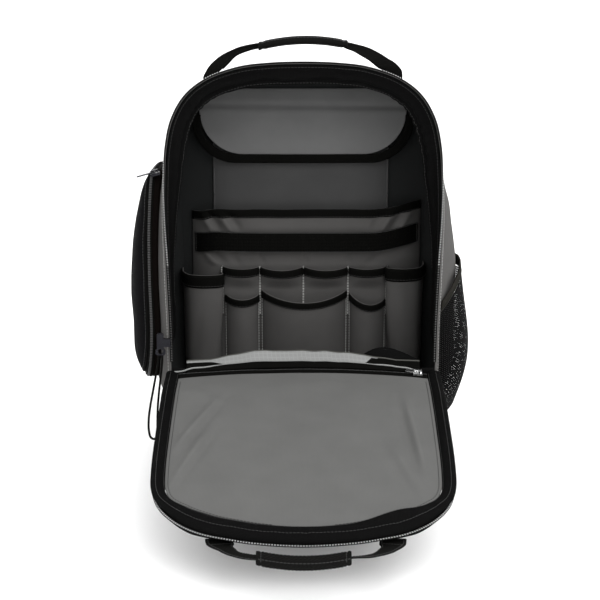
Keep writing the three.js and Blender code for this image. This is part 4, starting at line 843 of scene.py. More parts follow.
def corner_skin(name):
    """A tapered pocket between the side wall and the rear wall, from the wall to its seam."""
    side, seam, lift = SIDES[name]

    def skin(u, v):
        u, v = np.broadcast_arrays(np.asarray(u, float), np.asarray(v, float))
        z = lerp(POCKET_FOOT + 4, WALL_POCKET_TOP + lift, v)
        taper = lerp(0.35, 1, ease(z, 20, 150))
        sewn = wide_face(seam, z) - GAP - CLOTH
        wall_x = side * (inner_half(z, 0.96) - 4 * GAP)
        stations = [vec(wall_x, lerp(rim_y(z), REAR_Y, 0.96), z)]
        for out, forward in CORNER_ROWS:
            x = lerp(seam + side * 14 * (1 - taper), wall_x, out)
            stations.append(vec(x, np.minimum(sewn, REAR_Y - CORNER_ROOM * forward * lerp(0.8, 1, taper)), z))
        stations.append(vec(seam, sewn, z))
        line = np.stack(stations)
        t = (u if side < 0 else 1 - u) * (len(stations) - 1)
        k = np.clip(t.astype(int), 0, len(stations) - 2)
        f = (t - k)[..., None]
        pick = lambda i: np.take_along_axis(line, np.clip(i, 0, len(stations) - 1)[None, ..., None], 0)[0]
        a, b, c, d = pick(k - 1), pick(k), pick(k + 1), pick(k + 2)
        p = 0.5 * (2 * b + (c - a) * f + (2 * a - 5 * b + 4 * c - d) * f**2 + (3 * b - a - 3 * c + d) * f**3)
        worn = 1.3 * drift(vec(p[..., 0], 0, z * 0.45 + side * p[..., 0]), 22, 50 + side) * np.sin(np.pi * u)
        return p + vec(0, worn, 0)
    return skin


# The side pockets. Their flat sizes are in metres

NET_BAR, NET_CORD = 0.64, 0.9
HEM_TOP = 205


def round_share(value, power):
    return np.sign(value) * np.abs(value) ** power


def left_pocket(turn, r):
    angle = 2 * np.pi * turn
    z = LEFT_POCKET_MIDDLE + LEFT_POCKET_HALF_HEIGHT * r * round_share(np.sin(angle), 0.42)
    s = 0.5 + LEFT_POCKET_HALF_REACH * r * round_share(np.cos(angle), 0.42)
    rise = LEFT_POCKET_DEPTH * np.sqrt(np.maximum(0, 1 - r**8))
    worn = 0.9 * ruffle(vec(0, z, s * 140), 61, 1.2, 0.25) * ease(1 - r, 0.0, 0.12)
    return over(shell, station_at_height(z, s, -1), s, LAY + rise + worn)


def hem_station(s):
    rise = np.sin(np.pi * np.clip((s - 0.02) / 1.1, 0, 1))
    return station_at_height(170 + 45 * rise, s, 1)


def net_skin(u, v):
    s = lerp(0.06, 0.95, 1 - u)
    stretch = np.sin(np.pi * np.clip(u, 0, 1)) ** 0.55
    up = np.clip(v, 0, 1)
    rise = lerp(0.3, 1, ease(up, 0, 0.12)) * lerp(1, 0.25, ease(up, 0.45, 1))
    room = NET_ROOM * stretch * rise * ease(up + 0.02, 0, 0.05)
    foot = station(NET_FOOT / HEIGHT, 1)
    return over(shell, lerp(foot, hem_station(s), v), s, GAP + NET_THICK + room)


# Straps and handles

Row = namedtuple("Row", "x y z ax ay az width")
TOP_HANDLE = {
    "left": [Row(-119, 16, 446.1, 1, 0, 0.45, 22), Row(-119, 5, 449.2, 1, 0, 0.45, 22),
             Row(-116, 1, 459, 0.97, 0, 0.2, 21.5),
             Row(-103.7, 0, 472.7, 0.8, 0, -0.6, 16), Row(-84.5, 0, 486, 0.45, 0.2, -0.85, 10.5),
             Row(-57.35, 0, 494, 0.1, 0.3, -0.95, 8.5)],
    "right": [Row(114, 16, 451.6, 1, 0, -0.6, 30), Row(114, 5, 454.7, 1, 0, -0.6, 30),
              Row(111.5, 1, 463.8, 0.98, 0, -0.05, 28),
              Row(100.4, 0, 472.5, 0.75, 0, 0.62, 18), Row(84.3, 0, 483, 0.5, 0.2, 0.83, 15),
              Row(57.35, 0, 494.5, 0.1, 0.3, 0.95, 10)],
}
FRONT_HANDLE = {
    "left": [Row(-94, -426, 1.3, 1, 0.05, 0, 33), Row(-93, -440, 1.3, 1, 0.1, 0, 31),
             Row(-85, -457, 2, 0.9, 0.43, 0.05, 18),
             Row(-72, -476, 3.5, 0.65, 0.75, 0.15, 11), Row(-52.7, -491, 6.5, 0, 0.9, 0.3, 9)],
    "right": [Row(100, -426, 1.3, 1, -0.05, 0, 31), Row(99, -440, 1.3, 1, -0.1, 0, 30),
              Row(93, -458, 2, 0.85, -0.5, 0.05, 20),
              Row(76, -478, 3.5, 0.6, -0.8, 0.15, 11), Row(52.7, -491, 6.5, 0, -0.9, 0.3, 9)],
}
STRAP_ROWS = [Row(40, 95, 412, 1, 0, 0.1, 50), Row(46, 108, 392, 1, 0, 0.1, 58),
              Row(56, 121, 340, 1, 0, 0.12, STRAP_WIDTH),
              Row(70, 126, 270, 1, 0, 0.2, STRAP_WIDTH), Row(88, 120, 205, 1, 0, 0.25, 56),
              Row(100, 112, 160, 1, 0, 0, 38)]
STRAP_WEBBING_ROWS = [Row(102, 113, 145, 1, 0, 0, 25), Row(110, 112, 120, 1, 0, 0.25, 25),
                      Row(124, 107, 80, 1, 0, 0.3, 25),
                      Row(136, 95, 46, 1, 0, 0.35, 25)]


def strap_skin(rows):
    """A flat strap through a table of stations."""
    line = smooth_line([r[:3] for r in rows])
    columns = np.array([r[3:] for r in rows], float).T
    last = len(rows) - 1

    def skin(u, v):
        u, v = np.broadcast_arrays(np.asarray(u, float), np.asarray(v, float))
        place = np.clip(u, 0, 1) * last
        k = np.clip(place.astype(int), 0, last - 1)
        share = ease(place - k, 0, 1)
        ax, ay, az, width = (lerp(column[k], column[k + 1], share) for column in columns)
        return by_row(line, u) + unit(vec(ax, ay, az)) * ((v - 0.5) * width)[..., None]
    return skin


CORD_ROUTE = [
    (-185.2, -82, 107.7), (-186, -83, 101), (-187.5, -87, 91), (-190, -93, 78), (-193, -98, 62),
    (-196, -103, 46), (-198, -107, 30), (-198, -110, 16), (-195.5, -112, 6.5), (-190.5, -112.5, 4.5), (-187.5, -110, 12),
    (-187, -107, 26), (-186.5, -103, 44), (-185, -98, 62), (-183, -92, 80), (-181.5, -86, 94), (-181, -83, 101),
    (-180.9, -82, 107.7),
]


def shares(count, low=0.0, high=1.0):
    return np.linspace(low, high, count)


def edged(low, high, inner, step=0.004):
    """Even shares with two close ones at each end, which keep an edge crisp."""
    return np.concatenate([[low, low + step], np.linspace(low, high, inner)[1:-1], [high - step, high]])


def length(name, about, default, least):
    return FloatProperty(name=name, description=about, default=default, min=least, unit="LENGTH")


class BackpackSizes(bpy.types.PropertyGroup):
    tooth: length("Zip tooth pitch", "Spacing of the main zip's teeth", 3.2 * MM, 0.001)
    net_cell: length("Net cell", "Spacing of the net's holes", 3.2 * MM, 0.002)
    piping: length("Piping", "Radius of the piping at the rear seam", 2.2 * MM, 0.0005)
    floor: length("Floor", "Half the width of the floor", 7.0, 1.0)


def paint(name, about, code):
    shown = {"subtype": "COLOR", "size": 3, "min": 0, "max": 1}
    return FloatVectorProperty(name=name, description=about, default=linear(code), **shown)


class BackpackColours(bpy.types.PropertyGroup):
    wall: paint("Wall", "Side and top walls", "#4e4d4c")
    pocket: paint("Pocket", "Rear wall and its pockets", "#484746")
    # The cover colour is the pocket cloth lightened as painted light
    cover: paint("Cover", "Document cover", "#5e5e5e")
    # The sleeve colour is the pocket cloth darkened as painted shade
    sleeve: paint("Sleeve", "Document sleeve", "#3c3c3c")
    # The lining colour is painted shade on the walls' inner faces
    lining: paint("Lining", "Inner faces of the walls, painted shade", "#1e1f1f")
    panel: paint("Panel", "The flap's inner panel", "#5a5a59")
    trim: paint("Trim", "Black cloth of facing and border", "#0a0a0a")
    gusset: paint("Gusset", "Black cloth of the side pocket's gusset", "#0a0706")
    outer: paint("Outer", "Charcoal cloth of the side pocket's face", "#09090a")
    hem: paint("Hem", "Olive black band of the net pocket", "#1e1d1a")
    net: paint("Net", "Knitted net", "#060606")
    silver: paint("Silver", "Ripstop lining", "#7e7f7e")
    # The shade colour is painted shade on the silver cloth behind the fold
    shade: paint("Shade", "Silver cloth behind the fold, painted shade", "#444441")
    tape: paint("Tape", "Black binding, zip tape and cord", "#090908")
    webbing: paint("Webbing", "Black webbing", "#111110")
    thread: paint("Thread", "Grey sewing thread", "#7a7a78")
    dark_thread: paint("Dark thread", "Black sewing thread", "#0e0e0d")
    # The teeth colour is partly painted highlight of teeth lit from above
    teeth: paint("Teeth", "The main zip's teeth", "#888888")
    # The coil colour also paints the main zip's lower teeth in shade
    coil: paint("Coil", "The small zips' coils", "#323232")
    nickel: paint("Nickel", "Bright plated slider and pull", "#f0f1f2")
    black_nickel: paint("Black nickel", "Dark plated sliders", "#202023")
    acetal: paint("Acetal", "Moulded buckles", "#111111")
    floor: paint("Floor", "Floor and backdrop", "#fbfbfb")


# The camera that was fitted to the photo
SENSOR, FOCUS_IN_PIXELS, PICTURE_PIXELS = 36, 1834, 600


class BACKPACK_OT_stage(bpy.types.Operator):
    """Lay the pale floor, hang the soft lights and set the camera"""
    bl_idname = "backpack.stage"
    bl_label = "Stage"

    def execute(self, context):
        half = context.scene.backpack_sizes.floor
        profile = [(-half, 0), (3.4, 0), (4.2, 0.14), (4.8, 0.6), (5.0, 1.4), (5.0, 6.0)]
        curve = smooth_line([(0, y, z) for y, z in profile], 12)
        points = np.stack([curve + (x, 0, 0) for x in (half, -half)], 1)
        mesh = bpy.data.meshes.new("floor")
        mesh.from_pydata(points.reshape(-1, 3).tolist(), [], grid_faces(len(curve), 2).tolist())
        mesh.polygons.foreach_set("use_smooth", [True] * len(mesh.polygons))
        floor = bpy.data.objects.new("floor", mesh)
        context.scene.collection.objects.link(floor)
        # Seamless paper: an even matt white with a very fine tooth
        paper = bpy.data.materials.new("Seamless paper, matt")
        paper.use_nodes = True
        tree = paper.node_tree
        tree.nodes.clear()
        spot = put(tree, "ShaderNodeTexCoord").outputs["Object"]
        tone = colour_of("floor")
        base = mixed(tree, noise_at(tree, spot, 2.0), scaled(tone, 0.985), tone)
        shader = put(tree, "ShaderNodeBsdfPrincipled", None, {
            "Base Color": base, "Roughness": 0.95,
            "Normal": bumped(tree, 0.05, 0.1, noise_at(tree, spot, 1.0)),
            "Specular IOR Level": 0.1})
        put(tree, "ShaderNodeOutputMaterial", None, {"Surface": shader.outputs[0]})
        mesh.materials.append(paper)

        world = bpy.data.worlds.new("studio")
        world.use_nodes = True
        world.node_tree.nodes["Background"].inputs["Color"].default_value = (1, 1, 1, 1)
        world.node_tree.nodes["Background"].inputs["Strength"].default_value = 1.25
        context.scene.world = world
        # Broad, soft and far light from the front, so that the floor is evenly white
        lamps = [("key", (0.7, -1.0, 1.2), 2.1), ("fill", (-0.3, -1.2, 0.9), 0.4)]
        for name, place, power in lamps:
            data = bpy.data.lights.new(name, "SUN")
            data.energy, data.angle = power, 1.0
            lamp = bpy.data.objects.new(name, data)
            lamp.location = place
            lamp.rotation_euler = (-Vector(place)).to_track_quat("-Z", "Y").to_euler()
            context.scene.collection.objects.link(lamp)
        context.scene.view_settings.view_transform = "Standard"

        data = bpy.data.cameras.new("camera")
        data.sensor_width, data.lens = SENSOR, FOCUS_IN_PIXELS / PICTURE_PIXELS * SENSOR
        data.clip_end = 50
        camera = bpy.data.objects.new("camera", data)
        camera.location = (-0.004, -2.3284, 0.8213)
        aim = Vector((-0.004, 0, 0.158))
        camera.rotation_euler = (aim - camera.location).to_track_quat("-Z", "Y").to_euler()
        context.scene.collection.objects.link(camera)
        context.scene.camera = camera
        return {"FINISHED"}


class BACKPACK_OT_cord(bpy.types.Operator):
    """Hang the cord loop on the main slider's ring"""
    bl_idname = "backpack.cord"
    bl_label = "Cord loop"

    def execute(self, context):
        route = smooth_line(CORD_ROUTE, 6) * MM
        data = bpy.data.curves.new("cord_loop", "CURVE")
        data.dimensions = "3D"
        data.bevel_depth = CORD / 2 * MM
        data.bevel_resolution = 4
        spline = data.splines.new("POLY")
        spline.points.add(len(route) - 1)
        for point, place in zip(spline.points, route):
            point.co = (*place, 1)
        spline.use_smooth = True
        obj = bpy.data.objects.new("cord_loop", data)
        context.scene.collection.objects.link(obj)
        data.materials.append(finish("cord"))
        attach(obj, "root")
        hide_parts("pull_cord")
        float(reach(route)[-1])
        return {"FINISHED"}


class BACKPACK_OT_shell(bpy.types.Operator):
    """Sew the side walls, the top wall, the padded rear wall, the base and the low front wall"""
    bl_idname = "backpack.shell"
    bl_label = "Shell"

    def execute(self, context):
        left, right = station(SHOULDER_UP, -1), station(SHOULDER_UP, 1)
        inset = GAP / 2 / RIM_LENGTH
        depths = edged(WALL_START, 1, 52, 0.006)
        spans = {"side_wall_left": (0, left, 136), "top_wall": (left, right, 120),
                 "side_wall_right": (right, 1, 136)}
        for name, (start, end, count) in spans.items():
            piece = Piece()
            round_it = edged(start + inset, end - inset, count, 0.0008)
            # The walls' inner faces take the dark lining colour, painted shade
            piece.cloth(worn_shell, round_it, depths, WALL, soft=0.2, inside=3)
            ends = shares(400, start + inset * 4, end - inset * 4)
            for s in (0.965, WALL_START + 0.022):
                piece.seam(worn_shell, ends, s)
            line = worn_shell(ends, np.full(400, 1.0))
            piece.tube(line + facing(shell, ends, np.full(400, 0.999)) * 0.6 + (0, -1.4, 0),
                       context.scene.backpack_sizes.piping / MM, 8, 2)
            piece.sew(name + "_cloth", ["wall", "thread", "tape", "lining"], [name])

        # The rear wall is foam between two cloths: flat inside, quilted in three channels outside
        outline = shell(shares(161), 1.0)[:, [0, 2]]
        centre = np.array([0, 205])
        rings = np.concatenate([[1, 0.995, 0.985, 0.97], np.linspace(0.95, 0.02, 46)])
        turns = along(np.vstack([outline, outline[:1]]), np.linspace(0, 1, 201)[:-1])
        flat = centre + (turns[None] - centre) * rings[:, None, None]
        x, z = flat[..., 0], flat[..., 1]
        channels = 1.6 * (hump(np.abs(x) - 52, 5) * ease(z, 50, 90) * (1 - ease(z, 330, 370)))
        channels = channels + 1.2 * hump(z - 250, 5) * (1 - ease(np.abs(x), 45, 60))
        crown = 1.2 * (1 - np.minimum(1, (1 - rings[:, None]) / 0.05)) ** 2
        rear = vec(x, DEPTH / 2 - 0.2 - channels - crown - 0.3 * (1 + drift(vec(x, 0, z), 40, 71)), z)
        front = vec(x, REAR_Y + GAP, z)
        piece = Piece()
        piece.slab(front, rear)
        obj = piece.make("rear_wall_pad", ["lining", "airmesh"], ["back_panel"])
        # The outside is air mesh; the inside takes the dark lining colour, which is painted shade
        places = np.empty(len(obj.data.polygons) * 3)
        obj.data.polygons.foreach_get("center", places)
        behind = places[1::3] > (DEPTH / 2 - 5) * MM
        obj.data.polygons.foreach_set("material_index", behind.astype(int))

        # The base's four corners: centre, radius and the angle at which each arc starts
        wide, tight = 28, 14
        front_x, front_y = 0.9 * HALF_WIDTH - wide, -DEPTH / 2 + WALL + wide
        rear_x, rear_y = 0.88 * REAR_HALF_WIDTH - tight, DEPTH / 2 - tight
        arcs = [(front_x, front_y, wide, -90), (rear_x, rear_y, tight, 0), (-rear_x, rear_y, tight, 90),
                (-front_x, front_y, wide, 180)]
        corners = [(cx + r * np.cos(np.radians(a)), cy + r * np.sin(np.radians(a)))
                   for cx, cy, r, start in arcs for a in np.linspace(start, start + 90, 12)]
        ring = np.array(corners + corners[:1])
        ring = along(ring, np.linspace(0, 1, 201)[:-1])
        base = Piece()
        inward = np.array([1, 0.997, 0.99, 0.97, 0.94, *np.linspace(0.9, 0.05, 24)])
        flat = ring[None] * inward[:, None, None]
        top = vec(flat[..., 0], flat[..., 1], BASE_THICK - 0.2 - 0.3 * (inward[:, None] > 0.985))
        under = vec(flat[..., 0], flat[..., 1], 0.25 * (inward[:, None] > 0.985))
        base.slab(under, top, np.concatenate([flat, flat]) * MM)
        base.make("base_cloth", ["trim"], ["base_panel"])

        top_up = (HINGE_HEIGHT - LIP_DROP) / HEIGHT

        def lip(u, v):
            up = top_up * v**1.5
            half = shell(station(up, 1), 0.0)
            rim = rim_y(up * HEIGHT)
            worn = 0.4 * drift(vec(u * 300, v * 80, 0), 30, 77)
            y = rim + WALL_START * (REAR_Y - rim) - 2 * GAP - WALL - worn
            return vec(half[..., 0] * (2 * u - 1), y, half[..., 2] + 2 * GAP)

        piece = Piece()
        piece.cloth(lip, edged(0, 1, 100), edged(0, 1, 30, 0.01), WALL)
        piece.sew("low_front_wall", ["trim"], ["front_lip"])
        return {"FINISHED"}


class BACKPACK_OT_rim(bpy.types.Operator):
    """Sew the zip and the black facing round the open rim"""
    bl_idname = "backpack.rim"
    bl_label = "Rim"

    def execute(self, context):
        inset = GAP / 2 / RIM_LENGTH
        low, high = LEFT_HINGE + inset, RIGHT_HINGE - inset
        tooth = context.scene.backpack_sizes.tooth / MM
        zip_half = Piece()
        zip_half.cloth(shell, edged(low, high, 320, 0.0006), shares(5, 0, ZIP_SHARE), TAPE * 1.5)
        # High on the rim the teeth take the light teeth finish, and lower down the dark coil finish: the same
        # teeth, with painted shade on the lower ones
        turned = station(0.46, -1), station(0.46, 1)
        for first, last, key in ((low + 0.001, turned[0], 2), (*turned, 1), (turned[1], high - 0.001, 2)):
            line = shares(600, first, last)
            outward = facing(shell, line, np.full(600, 0.006))
            zip_half.studs(over(shell, line, 0.006, -0.4), outward, tooth, (1.5, 2.2, 0.9), key)
        zip_half.sew("main_zip_body_tape", ["tape", "teeth", "small_teeth"], ["main_zip_body_half"])

        def inner(u, s):
            p = shell(u, s)
            fade = ease(s, WALL_START, 0.09)
            waves = 0.7 * drift(vec(p[..., 0] * 0.5, s * 420, p[..., 2] * 0.5), 14, 13)
            waves = waves + 0.5 * drift(vec(u * 2200, s * 120, 0), 26, 14)
            corner = hump(u - 0.66, 0.05) + 0.6 * hump(u - 0.36, 0.04)
            tucks = corner * 1.1 * np.sin(u * 520 + 9 * s)
            share = (s - WALL_START) / (FACING_END - WALL_START)
            lean = FACING_LEAN * share * ease(shell(u, np.zeros_like(s))[..., 2], 98, 135)
            fold_at = 0.08 * drift(vec(u * 40, 0, 0), 1, 15)
            crease = 2.6 * hump(share - 0.56 - fold_at, 0.1) - 1.6 * hump(share - 0.8, 0.1)
            soft = fade * np.maximum(-0.4, 1.6 * waves + tucks + crease)
            return over(shell, u, s, -WALL - 2 * GAP - 0.5 - lean - soft)

        facing_cloth = Piece()
        facing_cloth.cloth(inner, edged(low, high, 360, 0.0006), edged(WALL_START, FACING_END, 20, 0.004), TAPE)
        for s in (0.052, 0.188):
            facing_cloth.seam(lambda u, v: over(inner, u, v, -TAPE), shares(900, low + 0.002, high - 0.002), s)
        facing_cloth.sew("rim_facing_cloth", ["trim", "black_thread"], ["rim_facing"])
        return {"FINISHED"}


class BACKPACK_OT_flap(bpy.types.Operator):
    """Make the folded-down flap: border, zipped inner panel, outer cloth and zip"""
    bl_idname = "backpack.flap"
    bl_label = "Front flap"

    def execute(self, context):
        border = Piece()
        border.cloth(flap_border, shares(260), shares(46), 2)
        line = shares(700, 0.005, 0.995)
        last = len(BORDER_ROWS) - 1
        for v in (0.5, 2.3):
            border.seam(flap_border, line, v / last, lift=0.05)
        border.sew("flap_border_cloth", ["trim", "black_thread"], ["flap_border"])

        end = flap_station(5, OUTER_INSET)
        outer = across_flap(lambda v: OUTER_INSET + 2, lambda x, out: flap_floor(x, out) + WALL)
        piece = Piece()
        piece.cloth(outer, edged(0, 1, 44), edged(0.012, 0.5 - end, 44), WALL, soft=0.2)
        piece.sew("flap_outer_cloth", ["wall"], ["flap_outer_panel"])

        panel = across_flap(lambda v: border_width(v) + GAP, panel_level)
        end = flap_station(FLAP_ZIP_END + GAP, BORDER_SIDE)
        piece = Piece()
        piece.cloth(panel, edged(0, 1, 112), edged(0.012, 0.5 - end, 112, 0.002), CLOTH)
        for side in (0.012, 0.988):
            piece.seam(panel, side, shares(500, 0.04, 0.49 - end))
        piece.sew("flap_pocket_cloth", ["panel", "black_thread"], ["flap_pocket_panel"])

        band_end = HALF_WIDTH * 0.985 - BORDER_SIDE - GAP

        def band(u, v):
            x = lerp(-band_end, band_end, u)
            ridges = 0.45 * np.sin(3 * 2 * np.pi * v) * np.sin(np.pi * np.clip(v, 0, 1))
            ridges = ridges + 0.4 * drift(vec(x, 0, 0), 24, 23)
            return on_flap(x, lerp(FLAP_ZIP_END, 6, v), PANEL_LEVEL + 2.2 * np.sin(np.pi * v) + ridges)

        piece = Piece()
        piece.cloth(band, shares(220), shares(19), CLOTH)
        line, middle = shares(600), np.full(600, 0.5)
        piece.studs(band(line, 0.5), facing(band, line, middle), 1.7, (0.8, 4.0, 0.7), 1)
        piece.sew("flap_pocket_zip_tape", ["tape", "small_teeth"], ["flap_pocket_zip"])

        def tape(u, v):
            x, out = flap_inset(1 - u, lerp(5 - GAP, 0, v))
            return on_flap(x, out, -4 + TAPE)

        piece = Piece()
        piece.cloth(tape, shares(260), shares(3), TAPE * 1.5)
        line = shares(900, 0.002, 0.998)
        tooth = context.scene.backpack_sizes.tooth / MM
        piece.studs(tape(line, np.full(900, 0.75)), np.tile(FLAP_UP, (900, 1)), tooth, (1.4, 1.7, 0.7), 1)
        piece.sew("main_zip_flap_tape", ["tape", "teeth"], ["main_zip_flap_half"])
        return {"FINISHED"}


class BACKPACK_OT_fold_lining(bpy.types.Operator):
    """Lay the silver lining over the flap's fold, with the rolled black fold behind it"""
    bl_idname = "backpack.fold_lining"
    bl_label = "Fold lining"

    def execute(self, context):
        def profile(u, v):
            x = lerp(-CREST_HALF, CREST_HALF, u)
            start = on_flap(x, 6 - GAP, PANEL_LEVEL + 0.5)
            rise = crest_rise(x)
            crest = vec(x, LIP_BACK + GAP + TAPE, HINGE_HEIGHT + TAPE + GAP + rise)
            behind = vec(x, LIP_BACK + GAP + TAPE + 1.5, HINGE_HEIGHT - LIP_DROP - 8)
            t = np.clip(v, 0, 1)[..., None]
            front = lerp(start, crest, t) + vec(0, -1.6 * np.sin(np.pi * t[..., 0]) * rise / 16, 0)
            back = lerp(crest, behind, np.clip(v - 1, 0, 1)[..., None])
            worn = 0.5 * drift(vec(x, v * 20, 0), 14, 25) * np.sin(np.pi * np.clip(v, 0, 1))
            return np.where((v < 1)[..., None], front, back) + vec(0, -worn, worn * 0.4)

        piece = Piece()

        def split(u):
            """Where the black band ends and the silver cloth starts, as a share of the front's height."""
            x = lerp(-CREST_HALF, CREST_HALF, u)
            return 0.44 + 0.38 * ease(-x, 98, 122) + 0.6 * ease(x, 78, 92)

        def silver(u, v):
            return profile(u, lerp(np.minimum(split(u), 1.0), 1.04, v))

        piece.cloth(silver, shares(170, 0, 0.82), shares(16), TAPE)
        piece.cloth(lambda u, v: profile(u, np.minimum(split(u), 1.04) * v), shares(200), shares(16), TAPE, 2)
        # Past the crest the cloth takes the shade colour, painted shade on the silver lining
        piece.cloth(lambda u, v: profile(u, v) + (0, 1.9, 0.8), shares(200), shares(12, 1.0, 2), TAPE, 1)
        # The silver cloth's edge shows as a thin line on both sides, down to the slider
        x = np.linspace(-171, 150, 260)
        inner = np.clip((x + CREST_HALF) / (2 * CREST_HALF), 0, 1)
        low = 0.44 - 0.08 * ease(np.abs(x), 110, 130)
        on_band = on_flap(x, 5.5, PANEL_LEVEL + 2.4)
        blend = (ease(x, -158, -140) * (1 - ease(x, 130, 148)))[:, None]
        edge = lerp(on_band, profile(inner, low) + (0, -0.6, 0), blend)
        piece.tube(edge, 0.5 + 0.6 * (ease(-x, 105, 125) + ease(x, 85, 105)), 6)
        piece.sew("fold_lining_cloth", ["ripstop", "shade", "tape", "teeth"], ["hinge_lining"])

        def fold(u, v):
            x = lerp(72, 148, u)
            arch = np.sin(np.pi * np.clip(u, 0, 1) ** 0.8)
            worn = 0.7 * drift(vec(x, v * 20, 0), 18, 27)
            rise = lerp(HINGE_HEIGHT - 8, HINGE_HEIGHT + 2 + 16 * arch, np.sin(0.5 * np.pi * v))
            return vec(x, LIP_BACK + 1.8 + 12 * v, rise + worn)

        piece = Piece()
        piece.cloth(fold, shares(60), shares(24), TAPE)
        piece.sew("rolled_fold_cloth", ["trim"], ["hinge_fold"])
        return {"FINISHED"}


class BACKPACK_OT_document_sleeve(bpy.types.Operator):
    """Sew the document sleeve and the bound cover that hangs over its mouth"""
    bl_idname = "backpack.document_sleeve"
    bl_label = "Document sleeve"

    def execute(self, context):
        def sleeve(u, v):
            x, z = lerp(SLEEVE_LEFT, SLEEVE_RIGHT, u), lerp(POCKET_FOOT + 20, SLEEVE_TOP, v)
            room = SLEEVE_ROOM * edge_shape(u, 6) * lerp(0.4, 1, v)
            worn = edge_shape(u, 8) * ruffle(vec(x, 0, z), 33, 0.9, 0.25)
            return vec(x, REAR_Y - GAP - CLOTH - room - worn, z)

        piece = Piece()
        # The sleeve and its piping take the darker sleeve colour, painted shade
        piece.cloth(sleeve, edged(0, 1, 70), edged(0, 1, 80))
        for u in (0.008, 0.992):
            piece.seam(sleeve, u, shares(400, 0.02, 0.98))
            piece.tube(sleeve(np.full(200, u), shares(200)) + (0, -0.3, 0), 1.1, 6, 2)
        piece.sew("sleeve_cloth", ["sleeve", "black_thread", "sleeve"], ["sleeve_panel"])

        front = REAR_Y - GAP - CLOTH

        def cover(u, v):
            z = lerp(COVER_BOTTOM + COVER_BINDING + GAP - 1.5, COVER_TOP, v)
            half = cover_half(np.maximum(z - COVER_BINDING, COVER_BOTTOM)) - COVER_BINDING - GAP + 1.5
            x = half * (2 * u - 1)
            return vec(x, front - cover_depth(x, z), z)

        piece = Piece()
        # The cover takes the lighter cover colour, painted light on the pocket cloth
        piece.cloth(cover, edged(0, 1, 110), edged(0, 1, 54))
        piece.sew("document_cover_cloth", ["cover"], ["document_flap_cover"])

        def edge(u, inset):
            side, t = np.where(u < 0.5, -1, 1), np.abs(2 * u - 1)
            angle = np.clip((t - 0.4) / 0.4, 0, 1) * np.pi / 2
            straight = COVER_HALF - COVER_CORNER
            radius, centre_z = COVER_CORNER - inset, COVER_BOTTOM + COVER_CORNER
            x = np.where(t < 0.4, straight * t / 0.4, straight + radius * np.sin(angle))
            z = np.where(t < 0.4, COVER_BOTTOM + inset, centre_z - radius * np.cos(angle))
            z = np.where(t > 0.8, lerp(COVER_BOTTOM + COVER_CORNER, COVER_TOP - 34, (t - 0.8) / 0.2), z)
            return side * np.where(t > 0.8, COVER_HALF - inset, x), z

        def binding(u, v):
            x, z = edge(u, lerp(0, COVER_BINDING, v))
            round_off = 0.9 * domed(v)
            worn = 0.35 * drift(vec(x * 1.5, 0, z * 1.5), 9, 35)
            return vec(x, front - cover_depth(x, z) - LAY - 0.3 - round_off - worn, z)

        piece = Piece()
        piece.cloth(lambda u, v: binding(1 - u, v), shares(330), shares(11), TAPE)
        piece.seam(lambda u, v: binding(1 - u, v), shares(900, 0.004, 0.996), 0.84)
        piece.sew("document_cover_binding", ["tape", "black_thread"], ["document_flap_binding"])
        return {"FINISHED"}


def sew_pouch(name, skin, rows, stitches):
    """A small pocket's face with a row of stitches down each side."""
    piece = Piece()
    piece.cloth(skin, edged(0, 1, 44, 0.01), edged(0, 1, rows))
    for u in (0.0, 1.0):
        piece.seam(skin, u, shares(stitches, 0.02, 0.985), **POCKET_STITCH)
    piece.sew(name + "_cloth", ["pocket", "thread"], [name])


def tape_over(surface, inset, node, us):
    """A ribbed tape on a pocket's mouth, from a share of its height up to its edge."""
    def skin(u, v):
        return over(surface, u, lerp(inset, 1.0, v), LAY + 0.3 + 0.8 * domed(v))

    piece = Piece()
    piece.cloth(skin, us, shares(9), TAPE)
    piece.seam(skin, shares(300, 0.02, 0.98), 0.16)
    piece.sew(node + "_tape", ["tape", "black_thread"], [node])


class BACKPACK_OT_wide_pocket(bpy.types.Operator):
    """Sew the wide pocket with its gathers, its taped edge and the elastic across it"""
    bl_idname = "backpack.wide_pocket"
    bl_label = "Wide pocket"

    def execute(self, context):
        def skin(u, v):
            wanted = lerp(WIDE_LEFT, WIDE_RIGHT, u)
            z = lerp(POCKET_FOOT, WIDE_TOP + top_tilt(wanted), v)
            return vec(np.minimum(wanted, inner_half(z, 1) - GAP), wide_face(wanted, z), z)

        piece = Piece()
        piece.cloth(skin, edged(0, 1, 150), edged(0, 1, 84))
        piece.sew("wide_pocket_cloth", ["pocket"], ["wide_pocket"])

        def binding(u, v):
            x = lerp(WIDE_LEFT, WIDE_RIGHT, u)
            z = WIDE_TOP + top_tilt(x) - WIDE_BINDING * (1 - v) + 0.35 * drift(vec(x, 0, 0), 28, 43)
            crown = 0.7 * domed(v)
            return vec(x, wide_face(x, z) - LAY - 0.3 - crown, z + 0.5)

        piece = Piece()
        piece.cloth(binding, shares(200), shares(11), TAPE)
        piece.seam(binding, shares(600, 0.01, 0.99), 0.14)
        piece.sew("wide_pocket_tape", ["tape", "black_thread"], ["wide_pocket_binding"])

        def band(u, v):
            x = lerp(WIDE_LEFT + 4, WIDE_RIGHT - 4, u)
            z = BAND_MIDDLE + top_tilt(x) - 4 + (v - 0.5) * BAND_HEIGHT
            bow = BAND_ROOM * edge_shape(np.clip((u - 0.015) / 0.97, 0, 1), 4)
            ribs = 0.22 * np.cos(2 * np.pi * 6 * v) + 0.12 * np.cos(x * 2 * np.pi / 2.6)
            return vec(x, wide_face(x, BAND_MIDDLE) - GAP - 0.4 - TAPE - bow - ribs, z)

        piece = Piece()
        piece.cloth(band, shares(300), shares(31), TAPE)
        for v in (0.02, 0.98):
            piece.tube(band(shares(200), np.full(200, v)), 0.55, 6, 1)
        for u in (0.006, 0.994):
            piece.seam(band, u, shares(60, 0.05, 0.95), **BAR_STITCH)
        piece.sew("elastic_ribbed", ["elastic", "black_thread"], ["elastic_band"])
        return {"FINISHED"}


